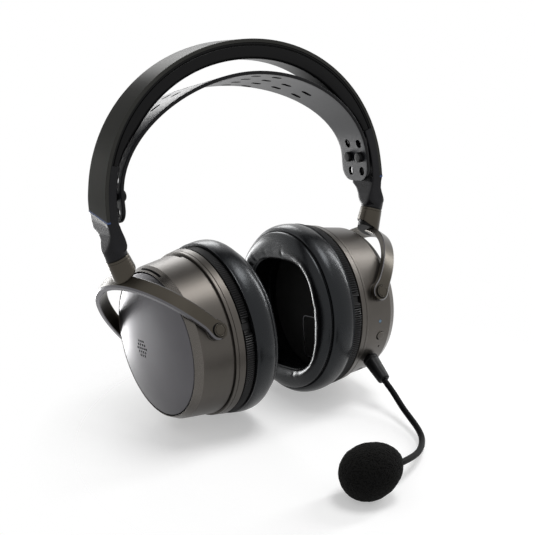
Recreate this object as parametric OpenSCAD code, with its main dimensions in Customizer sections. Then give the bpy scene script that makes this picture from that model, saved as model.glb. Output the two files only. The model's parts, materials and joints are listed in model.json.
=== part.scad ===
// Wireless over-ear headset with a suspension strap, C-shaped yokes and a plug-in boom microphone.
// Millimetres. The origin lies midway between the ear cushions, +X points to the wearer's left,
// +Y to the back of the head and +Z up. Left and right pieces are mirror images.

/* [Headband] */
// Half of the headband's outer width
band_half_w = 92; // [86:0.5:98]
// Rise of the arch above its widest point
band_rise = 83.4; // [78:0.2:92]
// Exponent of the arch's superellipse, 2 is an ellipse
band_power = 2.055; // [1.95:0.005:2.2]
// Width of the band from front to back
band_w = 20.5; // [18:0.5:24]
// Distance of the band's middle plane behind the ear axis
band_y = 1.85; // [0:0.05:3]
// Thickness of the outer spring steel
steel_t = 2; // [1.2:0.1:2.6]
// Thickness of the lining at its ends
lining_end_t = 5.6; // [4.5:0.1:6]
// Thickness of the lining at the crown
lining_crown_t = 9; // [7:0.1:11]
// Height of the lining's ends above the band's widest point
lining_lift = 26.2; // [22:0.2:32]
// Height of the end piece from the swivel's joint line to the accent stripe
end_h = 22.3; // [20:0.1:26]
// Slant of the accent stripe
stripe_tilt = 15; // [8:1:20]
// Width of the accent stripe
stripe_w = 0.9; // [0.6:0.1:1.6]

/* [Suspension strap] */
// Gap between the end piece and the strap's tab
strap_gap = 2.4; // [1.5:0.1:4]
// Height of the pegs above the accent stripe
peg_lift = 9.4; // [8:0.1:12]
// Headroom between the strap's crown and the lining
strap_room = 6.5; // [5:0.1:14]
// Fall of the strap's crown from its front edge to its back edge
strap_fall = 6; // [2:0.1:9]
// Width of the strap at its pegs
strap_w = 24.4; // [20:0.2:26]
// Swell of the strap's front edge at the crown
crown_front = 4.2; // [0:0.1:8]
// Swell of the strap's back edge at the crown
crown_back = 13.9; // [8:0.1:18]
// Thickness of the strap
strap_t = 2; // [1.4:0.1:2.4]
// Reach of the strap's rounded tabs below the pegs
tab_len = 14.4; // [13:0.2:18]
// Distance between the two pegs of one side
peg_pitch = 10.3; // [9:0.1:12]
// Radius of a peg's shaft
peg_r = 1.9; // [1.4:0.1:2.2]
// Radius of a peg's knob
knob_r = 3; // [2.6:0.1:3.4]
// Distance between the rows of size holes
row_pitch = 8.5; // [7.5:0.1:9]

/* [Swivel and yoke] */
// Lean of the swivel axis towards the head
swivel_lean = 21; // [15:0.5:25]
// Distance of the swivel axis inside the band's outer face at the joint line
swivel_inset = 6; // [5:0.1:8]
// Distance of the swivel axis in front of the ear axis
swivel_front = 3; // [0:0.5:4]
// Height of the sleeve's joint line above the yoke's middle
sleeve_rise = 15.7; // [14:0.1:18]
// Radius of the sleeve at the joint line
sleeve_top_r = 6.4; // [6:0.1:7]
// Growth of the sleeve's radius down to the yoke
sleeve_flare = 1.3; // [0.4:0.1:2]
// Radius of the swivel pin
swivel_pin_r = 3.4; // [2.5:0.1:4]
// Gap between the yoke's round ends and the cup's wall
yoke_gap = 0.4; // [0.3:0.05:2]
// Reach of the yoke's middle line from the tilt axis
yoke_reach = 48.6; // [46:0.1:52]
// Outward slope of the yoke's plane
yoke_slope = 49; // [45:1:54]
// Rise of the tilt axis towards the front
yoke_rise = 14; // [10:0.5:16]
// Width of the yoke's bow
yoke_w = 8; // [7:0.1:9.5]
// Thickness of the yoke's bow
yoke_t = 3.6; // [3:0.1:4]
// Radius of the yoke's round ends
eye_r = 5; // [4.6:0.1:5.4]
// Radius of the pivot pins
pivot_pin_r = 1.8; // [1.4:0.1:2.2]
// Radius of the pivot pins' flat heads
pivot_head_r = 3.4; // [3:0.1:4]

/* [Cup] */
// Pitch of the cup at rest, its outer face turned down
cup_pitch = 2.5; // [0:0.5:5]
// Radius of the seam round the cover
cover_r = 40.2; // [37:0.1:44]
// Height of the cover's dome
dome_h = 4; // [2:0.1:6]
// Thickness of the cover and the housing wall
wall_t = 2; // [1.6:0.1:2.4]
// Distance of the cover's seam outwards from the tilt axis
seam_w = 13.15; // [12:0.05:15]
// Radial width of the chamfer round the cover
chamfer_r = 2.85; // [2:0.05:4]
// Depth of the chamfer along the cup's axis
chamfer_h = 4.19; // [3:0.01:5]
// Growth of the drum's radius from the chamfer to the groove
drum_flare = 2.2; // [0:0.1:4]
// Depth of the drum from the chamfer to the groove
drum_h = 17.79; // [15:0.01:21]
// Step from the drum to the lip
lip_step = 1.15; // [0.6:0.05:2]
// Growth of the lip's radius towards the cushion
lip_flare = 0.9; // [0:0.1:1.6]
// Depth of the lip
lip_h = 5.4; // [4.5:0.1:7]
// Step from the lip to the ribbed ring that carries the cushion
ring_step = 0.2; // [0:0.1:1]
// Depth of the ribbed ring
ring_h = 5.2; // [4:0.1:7]
// Radius of one vent hole in the cover
vent_r = 0.6; // [0.4:0.05:0.8]
// Distance between vent holes
vent_pitch = 2.2; // [2:0.1:2.8]
// Space round the driver inside the housing
driver_space = 3.75; // [2:0.05:6]

/* [Ear cushion] */
// Swell of the cushion beyond its ring
pad_swell = 1.9; // [1:0.1:3]
// Distance of the seam round the cushion's face inside its fullest line
pad_round = 3.1; // [2:0.1:5]
// Half height of the ear opening
opening_h = 32.3; // [30:0.1:34]
// Half width of the ear opening
opening_w = 33.5; // [31:0.1:35]
// Squareness of the ear opening, 2 is an ellipse
opening_power = 2.9; // [2:0.1:4]
// Depth of the cushion from its ring to its crown
pad_depth = 19; // [16:0.2:22]

/* [Controls and sockets] */
// Angle of the status light below the cup's front
led_angle = 8; // [5:0.5:10]
// Angle of the power button below the cup's front
button_angle = 19.8; // [18:0.2:22]
// Radius of the power button
button_r = 2.5; // [2:0.1:3]
// Travel of the power button
button_travel = 0.6; // [0.3:0.1:0.8]
// Angle of the hole for the noise microphone
mic_hole_angle = 30.2; // [29:0.2:31]
// Angle of the boom's socket below the cup's front
boom_angle = 40.2; // [39:0.2:42]
// Angle of the charging port below the cup's front
charge_angle = 62; // [58:0.5:64]
// Angle of the cable socket below the cup's front
jack_angle = 78; // [75:0.5:84]
// Radius of a 3.5 mm socket's bore
jack_bore_r = 1.8; // [1.75:0.01:1.9]
// Depth of a 3.5 mm socket's bore
jack_depth = 14; // [12:0.5:15]

/* [Boom microphone] */
// Length of the boom plug's grip outside the cup
plug_len = 16.6; // [14:0.1:20]
// Radius of the plug's grip at the cup
plug_r = 4.6; // [4:0.1:5]
// Radius of the plug's grip at the gooseneck
plug_end_r = 3.5; // [3:0.1:4]
// Radius of the gooseneck
neck_r = 1.7; // [1.3:0.1:2]
// Half length of the foam windscreen
foam_long = 16.2; // [14:0.1:18]
// Half thickness of the foam windscreen
foam_wide = 14.3; // [13:0.1:16]

/* [Hidden] */
$fn = 96;
// Small amounts: a cut's overshoot, a slip fit, a running fit, a glue line and the space round soft
// pieces.
over = 1;
slip = 0.05;
run_fit = 0.1;
glue = 0.1;
soft_gap = 0.3;

// Yoke, from the tilt axis: the place of its middle, and its round ends, heads and bosses along it.
apex = yoke_reach * [cos(yoke_slope), sin(yoke_slope)];
eye_t = yoke_t + 0.1;
drum_eye_r = cover_r + chamfer_r + (seam_w - chamfer_h + eye_r) * drum_flare / drum_h;
eye_in = drum_eye_r + yoke_gap;
eye_out = eye_in + eye_t;
yoke_half_span = eye_in + yoke_t / 2;
yoke_long = yoke_half_span + yoke_t / 2;
pivot_head_t = 1;
head_out = eye_out + pivot_head_t;
boss_out = eye_in - soft_gap;
boss_r = eye_r + 0.3;
pin_reach = 5;

// Places: everything hangs from the tilt axis up to the sleeve, the end piece and the band.
bow_offset = 6.1;
swivel_x = band_half_w - swivel_inset;
pivot_x = swivel_x - sleeve_rise * tan(swivel_lean) + bow_offset - apex[0];
pivot_z = 0;
swivel_z = pivot_z + apex[1] * cos(yoke_rise) + sleeve_rise;
stripe_z = swivel_z + end_h;
band_side_z = stripe_z + 1;
lining_end_z = band_side_z + lining_lift;
peg_z = stripe_z + peg_lift;
tab_z = peg_z - tab_len;

// Headband: the lining is narrower than the steel, and the end piece laps its ends.
lining_w = band_w - 1;
end_lap_t = lining_end_t - 0.6;
arch_steps = 32;

// Suspension strap.
strap_half_w = band_half_w - steel_t - end_lap_t - strap_gap;
strap_shift = 1.45;
strap_front = band_y + strap_shift - strap_w / 2;
strap_rise_front = band_side_z + band_rise - steel_t - lining_crown_t - strap_room - peg_z;
strap_rise_back = strap_rise_front - strap_fall;
front_power = 1.91;
back_power = 1.98;
tab_corner = 8;
strap_steps = 28;

// Swivel: the joint's thin washer, the pin with its room and the wall below it, and the insert under
// the sleeve's slanted end.
washer_t = 0.7;
washer_gap = 0.1;
pin_depth = 4;
pin_room = 0.5;
sleeve_web = 1;
sleeve_overlap = 5.2;
sleeve_len = sleeve_rise / cos(swivel_lean) + sleeve_overlap;
insert_r = 4.5;
insert_low_r = 5.8;
insert_reach = yoke_reach - 3;

// Cup: radii, and distances along its axis from the tilt axis, positive outwards.
drum_out_r = cover_r + chamfer_r;
drum_in_r = drum_out_r + drum_flare;
lip_out_r = drum_in_r + lip_step;
lip_in_r = lip_out_r + lip_flare;
ring_r = lip_in_r + ring_step;
ring_band = 9;
ring_bore_r = ring_r - ring_band;
lip_bore_r = drum_in_r - 0.25;
spigot_r = lip_bore_r - 0.6;
chamfer_w = seam_w - chamfer_h;
groove_w = chamfer_w - drum_h;
lip_w = groove_w - 0.47;
lip_end_w = lip_w - lip_h;
shoulder_w = lip_w - 3.1;
ring_out_w = lip_end_w - 0.8;
ring_in_w = ring_out_w - ring_h;
wall_drill = 5;

// Inside the cup: the baffle against the shoulder, the driver on it and what lies behind.
baffle_t = 2;
baffle_w = shoulder_w - slip;
driver_w = shoulder_w;
frame_t = 2;
frame_r = drum_in_r - wall_t - driver_space;
port_r = frame_r - 7.5;
screw_ring_r = frame_r - 2.3;
screw_r = 1;
magnet_r = frame_r - 3.5;
magnet_t = 5;
film_t = 0.2;
back_w = driver_w + frame_t + film_t + magnet_t + 2 * slip;
core_long = 40;
core_high = 30;
board_t = 1.6;
battery_t = 6;

// Vent holes: a hexagon of this many rings behind and below the cover's centre.
vent_rings = 2;
vent_back = 8.6;
vent_low = 2.8;

// Cushion mesh.
pad_r = ring_r + pad_swell;
pad_seam_r = pad_r - pad_round;
pad_steps = 60;
pad_base_w = ring_in_w - soft_gap;
opening_shift = -0.65;

// Controls: places along the cup's axis.
led_w = 0.7;
led_r = 0.9;
button_w = 2.1;
mic_hole_w = 3.4;
mic_hole_r = 0.5;
boom_w = -0.6;
socket_r = 3.2;
charge_w = 0.8;
jack_w = 1.2;
plug_pin_r = 1.75;
plug_pin_len = 12;
plug_gap = 0.15;
button_proud = button_travel;

// Gooseneck: its straight start, then its route from there, chosen by hand, and the windscreen's
// centre beyond the route.
neck_start = 3.2;
boom_route = [[-0.8, -6.2, -3.9], [-3.3, -16.7, -9.9], [-9.3, -35.7, -16.4], [-16.8, -47.2, -18.9],
    [-30.8, -59.7, -18.4], [-48.8, -69.7, -15.9], [-60.8, -72.2, -14.4]];
foam_offset = [-73.3, -74.7, -12.7];
foam_turn = [0, 128, 28];
neck_sides = 10;
neck_steps = 4;
capsule_r = 4.5;
capsule_len = 11;

// ---------- Places and small helpers ----------

// Makes a piece for one side: 1 is the wearer's left (+X), -1 the mirror image on the right.
module side(s) {
    if (s > 0) children();
    else mirror([1, 0, 0]) children();
}

// Cup frame: Z outwards along the cup's axis from the tilt axis, Y up and X backwards.
module in_cup(s) {
    side(s)
        translate([pivot_x, 0, pivot_z])
            rotate([0, cup_pitch, 0])
                rotate([90, 0, 90])
                    children();
}

// On the cup's wall: Z points out of the wall from the axis, at an angle below the cup's front.
module on_drum(angle, w) {
    translate([0, 0, w])
        rotate([0, 0, 180 + angle])
            rotate([0, 90, 0])
                children();
}

// Swivel frame: Z points up the swivel axis from the joint line.
module on_swivel() {
    translate([swivel_x, -swivel_front, swivel_z])
        rotate([0, swivel_lean, 0])
            children();
}

module tube(r_out, r_in, from, to) {
    translate([0, 0, from])
        difference() {
            cylinder(r = r_out, h = to - from);
            translate([0, 0, -over])
                cylinder(r = r_in, h = to - from + 2 * over);
        }
}

module disc(r, from, to) {
    translate([0, 0, from])
        cylinder(r = r, h = to - from);
}

// Radius of the drum's outer wall at a place along the cup's axis.
function drum_r(w) = drum_out_r + (chamfer_w - w) * drum_flare / drum_h;

// ---------- Headband ----------

// A superellipse quarter: a * cos^(2/n), b * sin^(2/n), with t from 0 at the side to 90 at the crown.
function arch(a, b, n, t) = [a * pow(cos(t), 2 / n), b * pow(sin(t), 2 / n)];

// Its outward normal, from the gradient of the implicit form.
function arch_normal(a, b, n, t) =
    let (g = [pow(cos(t), 2 - 2 / n) / a, pow(sin(t), 2 - 2 / n) / b])
    g / norm(g);

function smooth(x) =
    let (k = min(max(x, 0), 1))
    k * k * (3 - 2 * k);

// Angle on the arch at a height.
function arch_angle(z) = asin(pow((z - band_side_z) / band_rise, band_power / 2));

// A point of the band at a depth below its outer face.
function band_pt(t, depth) =
    arch(band_half_w, band_rise, band_power, t)
    - depth * arch_normal(band_half_w, band_rise, band_power, t)
    + [0, band_side_z];

// One side of the band from its lower end to the crown, at a depth that swells towards the crown.
function band_line(depth_end, depth_crown, low_z, start, steps) = concat(
    low_z < band_side_z ? [[band_half_w - depth_end, low_z]] : [],
    [for (i = [0:steps])
        let (t = start + (90 - start) * i / steps)
        band_pt(t, depth_end + (depth_crown - depth_end)
            * smooth((t - arch_angle(lining_end_z)) / 20))]
);

function mirrored(pts) = [for (i = [len(pts) - 1:-1:0]) [-pts[i][0], pts[i][1]]];

// Closed outline of an arch between two lines that both run up the +X side.
function arch_outline(outer, inner) =
    let (back = concat(inner, mirrored(inner)))
    concat(outer, mirrored(outer), [for (i = [len(back) - 1:-1:0]) back[i]]);

// Extrudes an outline drawn in X and Z to a width along Y.
module across(width, y) {
    translate([0, y + width / 2, 0])
        rotate([90, 0, 0])
            linear_extrude(width)
                children();
}

// Everything below the slanted stripe's plane, moved down by an amount.
module below_stripe(drop) {
    translate([0, band_y, stripe_z - drop])
        rotate([stripe_tilt, 0, 0])
            translate([-2 * band_half_w, -2 * band_w, -3 * band_w])
                cube([4 * band_half_w, 4 * band_w, 3 * band_w]);
}

module steel_arch() {
    low = stripe_z - band_w / 2;
    across(band_w, band_y)
        polygon(arch_outline(
            band_line(0, 0, low, 0.01, arch_steps),
            band_line(steel_t, steel_t, low, 0.01, arch_steps)
        ));
}

module headband_spring() {
    color("dimgray")
        difference() {
            steel_arch();
            below_stripe(0);
        }
}

module headband_lining() {
    start = arch_angle(lining_end_z);
    color([0.08, 0.08, 0.09])
        across(lining_w, band_y)
            polygon(arch_outline(
                band_line(steel_t + glue, steel_t + glue, lining_end_z, start, arch_steps),
                band_line(steel_t + lining_end_t, steel_t + lining_crown_t, lining_end_z, start, arch_steps)
            ));
}

module accent_stripe(s) {
    color("royalblue")
        side(s)
            intersection() {
                steel_arch();
                difference() {
                    below_stripe(0);
                    below_stripe(stripe_w);
                }
                translate([0, -band_w, 0])
                    cube([2 * band_half_w, 3 * band_w, 2 * band_half_w]);
            }
}

// ---------- End pieces ----------

// Rings of the end piece from under the stripe down to the neck: [height, outer x, inner x, front y,
// back y, squareness]. The front edge runs straight down while the back edge draws in sharply.
function end_rings() =
    let (
        front = band_y - band_w / 2,
        back = band_y + band_w / 2,
        outer = band_half_w,
        inner = band_half_w - steel_t - end_lap_t,
        neck_z = swivel_z + 3.2,
        neck_x = swivel_x + (neck_z - swivel_z) * tan(swivel_lean),
        h = stripe_z - neck_z
    )
    [
        [stripe_z + 5, outer, inner, front, back, 12],
        [stripe_z - 0.157 * h, outer - 0.5, inner - 0.3, front, back, 12],
        [stripe_z - 0.34 * h, outer - 0.9, inner - 0.9, front, back - 0.8, 9],
        [stripe_z - 0.471 * h, outer - 1.2, inner - 1.8, front, back - 4, 6],
        [stripe_z - 0.602 * h, outer - 0.9, inner - 2.8, front - 0.2, back - 6.8, 4],
        [stripe_z - 0.812 * h, outer + 0.6, inner - 4, front - 0.4, back - 8.2, 3],
        [neck_z, neck_x + sleeve_top_r, neck_x - sleeve_top_r,
            -swivel_front - sleeve_top_r, -swivel_front + sleeve_top_r, 2.1]
    ];

// A closed superellipse ring of points, one for each step round it.
function end_ring(k, steps) =
    let (
        cx = (k[1] + k[2]) / 2, hx = (k[1] - k[2]) / 2,
        cy = (k[3] + k[4]) / 2, hy = (k[4] - k[3]) / 2
    )
    [for (i = [0:steps - 1])
        let (a = 360 * (i + 0.5) / steps)
        [cx + hx * sign(cos(a)) * pow(abs(cos(a)), 2 / k[5]),
            cy + hy * sign(sin(a)) * pow(abs(sin(a)), 2 / k[5]), k[0]]];

// The neck's last ring lies in the joint line's tilted plane.
function neck_ring(steps, drop) =
    [for (i = [0:steps - 1])
        let (
            a = 360 * (i + 0.5) / steps,
            u = sleeve_top_r * cos(a),
            v = sleeve_top_r * sin(a)
        )
        [swivel_x + u * cos(swivel_lean) + drop * sin(swivel_lean),
            v - swivel_front,
            swivel_z - u * sin(swivel_lean) + drop * cos(swivel_lean)]];

// A closed skin over rings of equal length, with every face a triangle.
module skin(rings, flip = false) {
    n = len(rings[0]);
    m = len(rings);
    pts = [for (r = rings) for (p = r) p];
    sides = [for (j = [0:m - 2]) for (i = [0:n - 1]) for (h = [0, 1])
        let (a = j * n + i, b = j * n + (i + 1) % n, c = a + n, d = b + n)
        h == 0 ? [a, b, d] : [a, d, c]];
    low = [for (i = [1:n - 2]) [0, i + 1, i]];
    high = [for (i = [1:n - 2]) [(m - 1) * n, (m - 1) * n + i, (m - 1) * n + i + 1]];
    faces = concat(sides, low, high);
    polyhedron(pts, flip ? faces : [for (f = faces) [f[2], f[1], f[0]]]);
}

module end_body() {
    steps = 40;
    rings = concat([for (k = end_rings()) end_ring(k, steps)], [neck_ring(steps, washer_t)]);
    skin(rings, true);
}

module end_piece(s) {
    start = arch_angle(lining_end_z);
    deep = steel_t + end_lap_t;
    low = stripe_z - 4;
    end = start - 0.05;
    lap = [for (i = [8:-1:0]) band_pt(0.01 + end * i / 8, steel_t + slip)];
    back = [for (i = [0:8]) band_pt(0.01 + end * i / 8, deep)];
    color([0.2, 0.21, 0.24])
        side(s)
            difference() {
                union() {
                    across(band_w, band_y)
                        polygon(concat(
                            lap,
                            [[band_half_w - steel_t - slip, low], [band_half_w - deep, low]],
                            back
                        ));
                    intersection() {
                        end_body();
                        below_stripe(stripe_w);
                    }
                    on_swivel()
                        disc(swivel_pin_r, -pin_depth, washer_t + over);
                }
                peg_shafts(run_fit / 2);
                screw_shaft(run_fit / 2);
            }
}

// The small screw that ties the spring to the end piece.
end_screw_r = 1.3;
end_screw_len = 4;
end_screw_place = 5.2;
module screw_shaft(gap) {
    translate([band_half_w - 0.9, band_y + end_screw_place, stripe_z - end_screw_place])
        rotate([0, -90, 0])
            disc(end_screw_r + gap, -over, end_screw_len);
}

module end_screw(s) {
    color("black")
        side(s)
            intersection() {
                screw_shaft(0);
                translate([0, -band_w, 0])
                    cube([band_half_w - 1.2, 3 * band_w, 2 * band_half_w]);
            }
}

// ---------- Suspension strap ----------

// Height and half width of the strap at an angle, for one edge.
function strap_edge(rise, power, t) = arch(strap_half_w, rise, power, t) + [0, peg_z];
function strap_edge_in(rise, power, t) =
    strap_edge(rise, power, t) - strap_t * arch_normal(strap_half_w, rise, power, t);

// Front and back edge of the strap along Y, which swell apart towards the crown.
function strap_y0(t) = strap_front - crown_front * pow(sin(t), 2);
function strap_y1(t) = strap_front + strap_w + crown_back * pow(sin(t), 2);

// Cross-section of the strap: front outer, front inner, back inner and back outer corner.
function strap_section(t, sx) =
    let (
        fo = strap_edge(strap_rise_front, front_power, t),
        fi = strap_edge_in(strap_rise_front, front_power, t),
        bo = strap_edge(strap_rise_back, back_power, t),
        bi = strap_edge_in(strap_rise_back, back_power, t),
        y0 = strap_y0(t),
        y1 = strap_y1(t)
    )
    [[sx * fo[0], y0, fo[1]], [sx * fi[0], y0, fi[1]], [sx * bi[0], y1, bi[1]], [sx * bo[0], y1, bo[1]]];

// The straight tab below the pegs, narrowing in a round end.
function tab_section(z, sx) =
    let (
        c = max(0, tab_z + tab_corner - z),
        cut = tab_corner - sqrt(max(0, tab_corner * tab_corner - c * c)),
        y0 = strap_front + cut,
        y1 = strap_front + strap_w - cut,
        x0 = sx * strap_half_w,
        x1 = sx * (strap_half_w - strap_t)
    )
    [[x0, y0, z], [x1, y0, z], [x1, y1, z], [x0, y1, z]];

// A round-ended slot cut along X.
module slot_x(r, long) {
    rotate([0, -90, 0])
        translate([0, 0, -3 * strap_t])
            linear_extrude(9 * strap_t)
                slot_shape(r, long);
}

module slot_shape(r, long) {
    square([long - 2 * r, 2 * r], center = true);
    for (e = [-1, 1])
        translate([e * (long / 2 - r), 0])
            circle(r, $fn = 24);
}

// Size holes round the pegs, with two more rows above and below.
hole_r = peg_r + 0.3;
hole_long = 5.2;
// Perforations of the crown: columns out from the middle, and rows about the strap's middle line.
crown_r = 1.6;
crown_long = 6.2;
crown_start = 9.3;
crown_pitch = 13.6;
crown_rows = 10.6;
crown_shift = 1.3;

module strap_holes() {
    for (s = [-1, 1], y = [-0.5, 0.5], k = [-1, 0, 1])
        translate([s * strap_half_w, band_y + y * peg_pitch, peg_z + k * row_pitch])
            rotate([0, -s * max(k, 0) * 10, 0])
                slot_x(hole_r, hole_long);
    // The two inner columns have four holes, the two outer ones only the middle two.
    middle = (strap_y0(90) + strap_y1(90)) / 2 + crown_shift;
    for (s = [-1, 1], k = [0:3], row = k < 2 ? [-1.5:1.5] : [-0.5:0.5])
        translate([s * (crown_start + k * crown_pitch), middle + row * crown_rows, peg_z])
            linear_extrude(2 * strap_rise_front)
                slot_shape(crown_r, crown_long);
}

module suspension_strap() {
    blunt = 0.02;
    tab_zs = [for (i = [0:7]) tab_z + blunt + (tab_corner - blunt) * (1 - cos(90 * i / 7))];
    n = len(tab_zs);
    rings = concat(
        [for (i = [0:n - 1]) tab_section(tab_zs[i], 1)],
        [for (i = [0:strap_steps]) strap_section(0.01 + 89.99 * i / strap_steps, 1)],
        [for (i = [strap_steps - 1:-1:0]) strap_section(0.01 + 89.99 * i / strap_steps, -1)],
        [for (i = [n - 1:-1:0]) tab_section(tab_zs[i], -1)]
    );
    color([0.16, 0.16, 0.18])
        difference() {
            skin(rings);
            strap_holes();
        }
}

// The pegs' depth in the end piece, the knobs' gap to the strap and their thickness.
peg_root = 2;
knob_gap = 0.4;
knob_t = 2.4;
module peg_shafts(gap) {
    from = band_half_w - steel_t - peg_root;
    for (y = [-0.5, 0.5])
        translate([from, band_y + y * peg_pitch, peg_z])
            rotate([0, -90, 0])
                disc(peg_r + gap, 0, from - strap_half_w + strap_t + over);
}

module strap_pegs(s) {
    knob_from = strap_half_w - strap_t - knob_gap;
    color([0.1, 0.1, 0.1])
        side(s) {
            peg_shafts(0);
            for (y = [-0.5, 0.5])
                translate([knob_from, band_y + y * peg_pitch, peg_z])
                    rotate([0, -90, 0])
                        disc(knob_r, 0, knob_t);
        }
}

// ---------- Swivel and yoke ----------

module swivel_washer(s) {
    color("black")
        side(s)
            on_swivel()
                tube(sleeve_top_r - 0.3, swivel_pin_r + run_fit, washer_gap, washer_t - slip);
}

// Half an ellipse ring for the bow, or the filled shape inside its outer edge.
function bow_arc(span, reach) =
    [for (i = [0:48]) [reach * sin(180 * i / 48), span * cos(180 * i / 48)]];

module bow_fill(grow) {
    linear_extrude(6 * yoke_w, center = true)
        polygon(concat(
            bow_arc(yoke_long + grow, yoke_reach + yoke_t / 2 + grow),
            [[-over, -yoke_long], [-over, yoke_long]]
        ));
}

// Turns the yoke frame so that the bow's outline lies in its plane.
module in_bow() {
    translate([pivot_x, 0, pivot_z])
        rotate([-yoke_rise, 0, 0])
            rotate([0, -yoke_slope, 0])
                children();
}

module sleeve_cone() {
    on_swivel()
        translate([0, 0, -sleeve_len])
            cylinder(r1 = sleeve_top_r + sleeve_flare, r2 = sleeve_top_r, h = sleeve_len);
}

module swivel_sleeve(s) {
    color("dimgray")
        side(s)
            difference() {
                sleeve_cone();
                in_bow() bow_fill(slip);
                on_swivel() {
                    disc(swivel_pin_r + run_fit, -pin_depth - pin_room, over);
                    disc(insert_r, -sleeve_len - over, -pin_depth - pin_room - sleeve_web);
                }
            }
}

// Black plug that closes the sleeve's slanted end and leads the wires to the cup.
module sleeve_insert(s) {
    color("black")
        side(s)
            difference() {
                block = 1.5 * yoke_reach;
                union() {
                    on_swivel()
                        disc(insert_r - slip, -sleeve_len, -pin_depth - 2);
                    intersection() {
                        on_swivel()
                            disc(insert_low_r, -sleeve_len - 2, -pin_depth);
                        in_bow() bow_fill(0);
                    }
                }
                in_bow() {
                    translate([insert_reach - block, -block / 2, -block / 2])
                        cube(block);
                    bow(slip);
                    translate([insert_reach - over, -block / 2, -block - yoke_w / 2])
                        cube(block);
                }
            }
}

// The bow: an elliptical strip, its width square to the yoke's plane.
module bow(grow) {
    span_in = yoke_half_span - yoke_t / 2 - grow;
    reach_in = yoke_reach - yoke_t / 2 - grow;
    outer = bow_arc(yoke_long + grow, yoke_reach + yoke_t / 2 + grow);
    inner = bow_arc(span_in, reach_in);
    linear_extrude(yoke_w + 2 * grow, center = true)
        polygon(concat(outer, [for (i = [len(inner) - 1:-1:0]) inner[i]]));
}

module along_pivot(y) {
    translate([pivot_x, 0, pivot_z])
        rotate([-yoke_rise, 0, 0])
            translate([0, y, 0])
                rotate([y > 0 ? -90 : 90, 0, 0])
                    children();
}

module yoke(s) {
    color("dimgray")
        side(s)
            difference() {
                union() {
                    in_bow() bow(0);
                    for (e = [-1, 1])
                        along_pivot(e * eye_in)
                            disc(eye_r, 0, eye_out - eye_in);
                }
                for (e = [-1, 1])
                    along_pivot(e * (eye_in - 2))
                        disc(pivot_pin_r + slip, -over, eye_out - eye_in + 4);
            }
}

module pivot_pins(s) {
    color("dimgray")
        side(s)
            for (e = [-1, 1]) {
                along_pivot(e * (eye_in - pin_reach))
                    disc(pivot_pin_r, 0, eye_out - eye_in + pin_reach + 0.5);
                along_pivot(e * (eye_out + slip))
                    disc(pivot_head_r, 0, head_out - eye_out);
            }
}

// ---------- Cup ----------

// Profile of the housing, [radius, place along the axis], outside first.
function housing_profile() = [
    [cover_r + slip, seam_w],
    [cover_r + 0.4, seam_w],
    [drum_out_r, chamfer_w],
    [drum_in_r, groove_w],
    [drum_in_r - 0.7, groove_w - 0.15],
    [drum_in_r - 0.7, lip_w + 0.1],
    [lip_out_r, lip_w],
    [lip_in_r, lip_end_w],
    [lip_bore_r, lip_end_w],
    [lip_bore_r, shoulder_w],
    [drum_in_r - wall_t, shoulder_w],
    [drum_in_r - wall_t - 0.3, groove_w + 1],
    [drum_out_r - wall_t - 0.2, chamfer_w - 0.8],
    [cover_r - 1.4, seam_w - 3.2],
    [cover_r - 1.4, seam_w - wall_t - slip],
    [cover_r + slip, seam_w - wall_t - slip]
];

// Holes for the pivot pins.
module pivot_bores(s) {
    side(s)
        for (e = [-1, 1])
            along_pivot(e * (boss_out - pin_reach - 1))
                disc(pivot_pin_r + run_fit / 2, 0, pin_reach + 3);
}

module pivot_bosses(s) {
    side(s)
        for (e = [-1, 1])
            along_pivot(e * (boss_out - pin_reach - 2))
                disc(boss_r, 0, pin_reach + 2);
}

module housing_shell() {
    rotate_extrude()
        polygon(housing_profile());
}

// A long slot in the outer chamfer near the top, and a short one in the groove.
slot_angle = -62;
slot_span = 22;
slot_depth = 1.75;
slot_t = 1.3;
catch_angle = 96;
catch_span = 9;
catch_t = 2.4;
module housing_slots() {
    rotate([0, 0, 180 + slot_angle])
        rotate_extrude(angle = slot_span)
            translate([drum_out_r - slot_depth, (seam_w + chamfer_w) / 2 - 0.5])
                square([2 * slot_depth, slot_t]);
    rotate([0, 0, catch_angle])
        rotate_extrude(angle = catch_span)
            translate([drum_in_r - 1.4, groove_w - 0.2])
                square([3, catch_t]);
}

// A round cut through the drum's wall.
module through_wall(r) {
    disc(r, drum_out_r - wall_drill, drum_in_r + wall_drill);
}

module cup_housing(s) {
    color("dimgray")
        difference() {
            union() {
                in_cup(s) housing_shell();
                pivot_bosses(s);
            }
            pivot_bores(s);
            in_cup(s) {
                housing_slots();
                if (s > 0) {
                    on_drum(led_angle, led_w) through_wall(led_r + slip);
                    on_drum(button_angle, button_w) through_wall(button_r + run_fit);
                    on_drum(mic_hole_angle, mic_hole_w) through_wall(mic_hole_r);
                    on_drum(boom_angle, boom_w) through_wall(socket_r + slip);
                    on_drum(charge_angle, charge_w)
                        charge_shape(slip, drum_out_r - wall_drill, drum_in_r + wall_drill);
                    on_drum(jack_angle, jack_w) through_wall(socket_r + slip);
                }
            }
        }
}

// Height of the dome above the seam at a radius: a fall that steepens towards the edge.
function dome(r) = dome_h * (1 - pow(r / cover_r, 2.6));

module cup_cover(s) {
    steps = 20;
    edge = cover_r - 0.15;
    outer = [for (i = [0:steps]) let (r = edge * i / steps) [r, seam_w + dome(r)]];
    inner = [for (i = [steps:-1:0]) let (r = edge * i / steps)
        [r, seam_w - wall_t + (i == steps ? 0 : dome(r))]];
    color("dimgray")
        in_cup(s)
            difference() {
                rotate_extrude()
                    polygon(concat(outer, inner));
                for (p = hex_points(vent_rings, vent_pitch))
                    translate([vent_back + p[0], p[1] - vent_low, 0])
                        cylinder(r = vent_r, h = 3 * seam_w, $fn = 24);
            }
}

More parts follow.
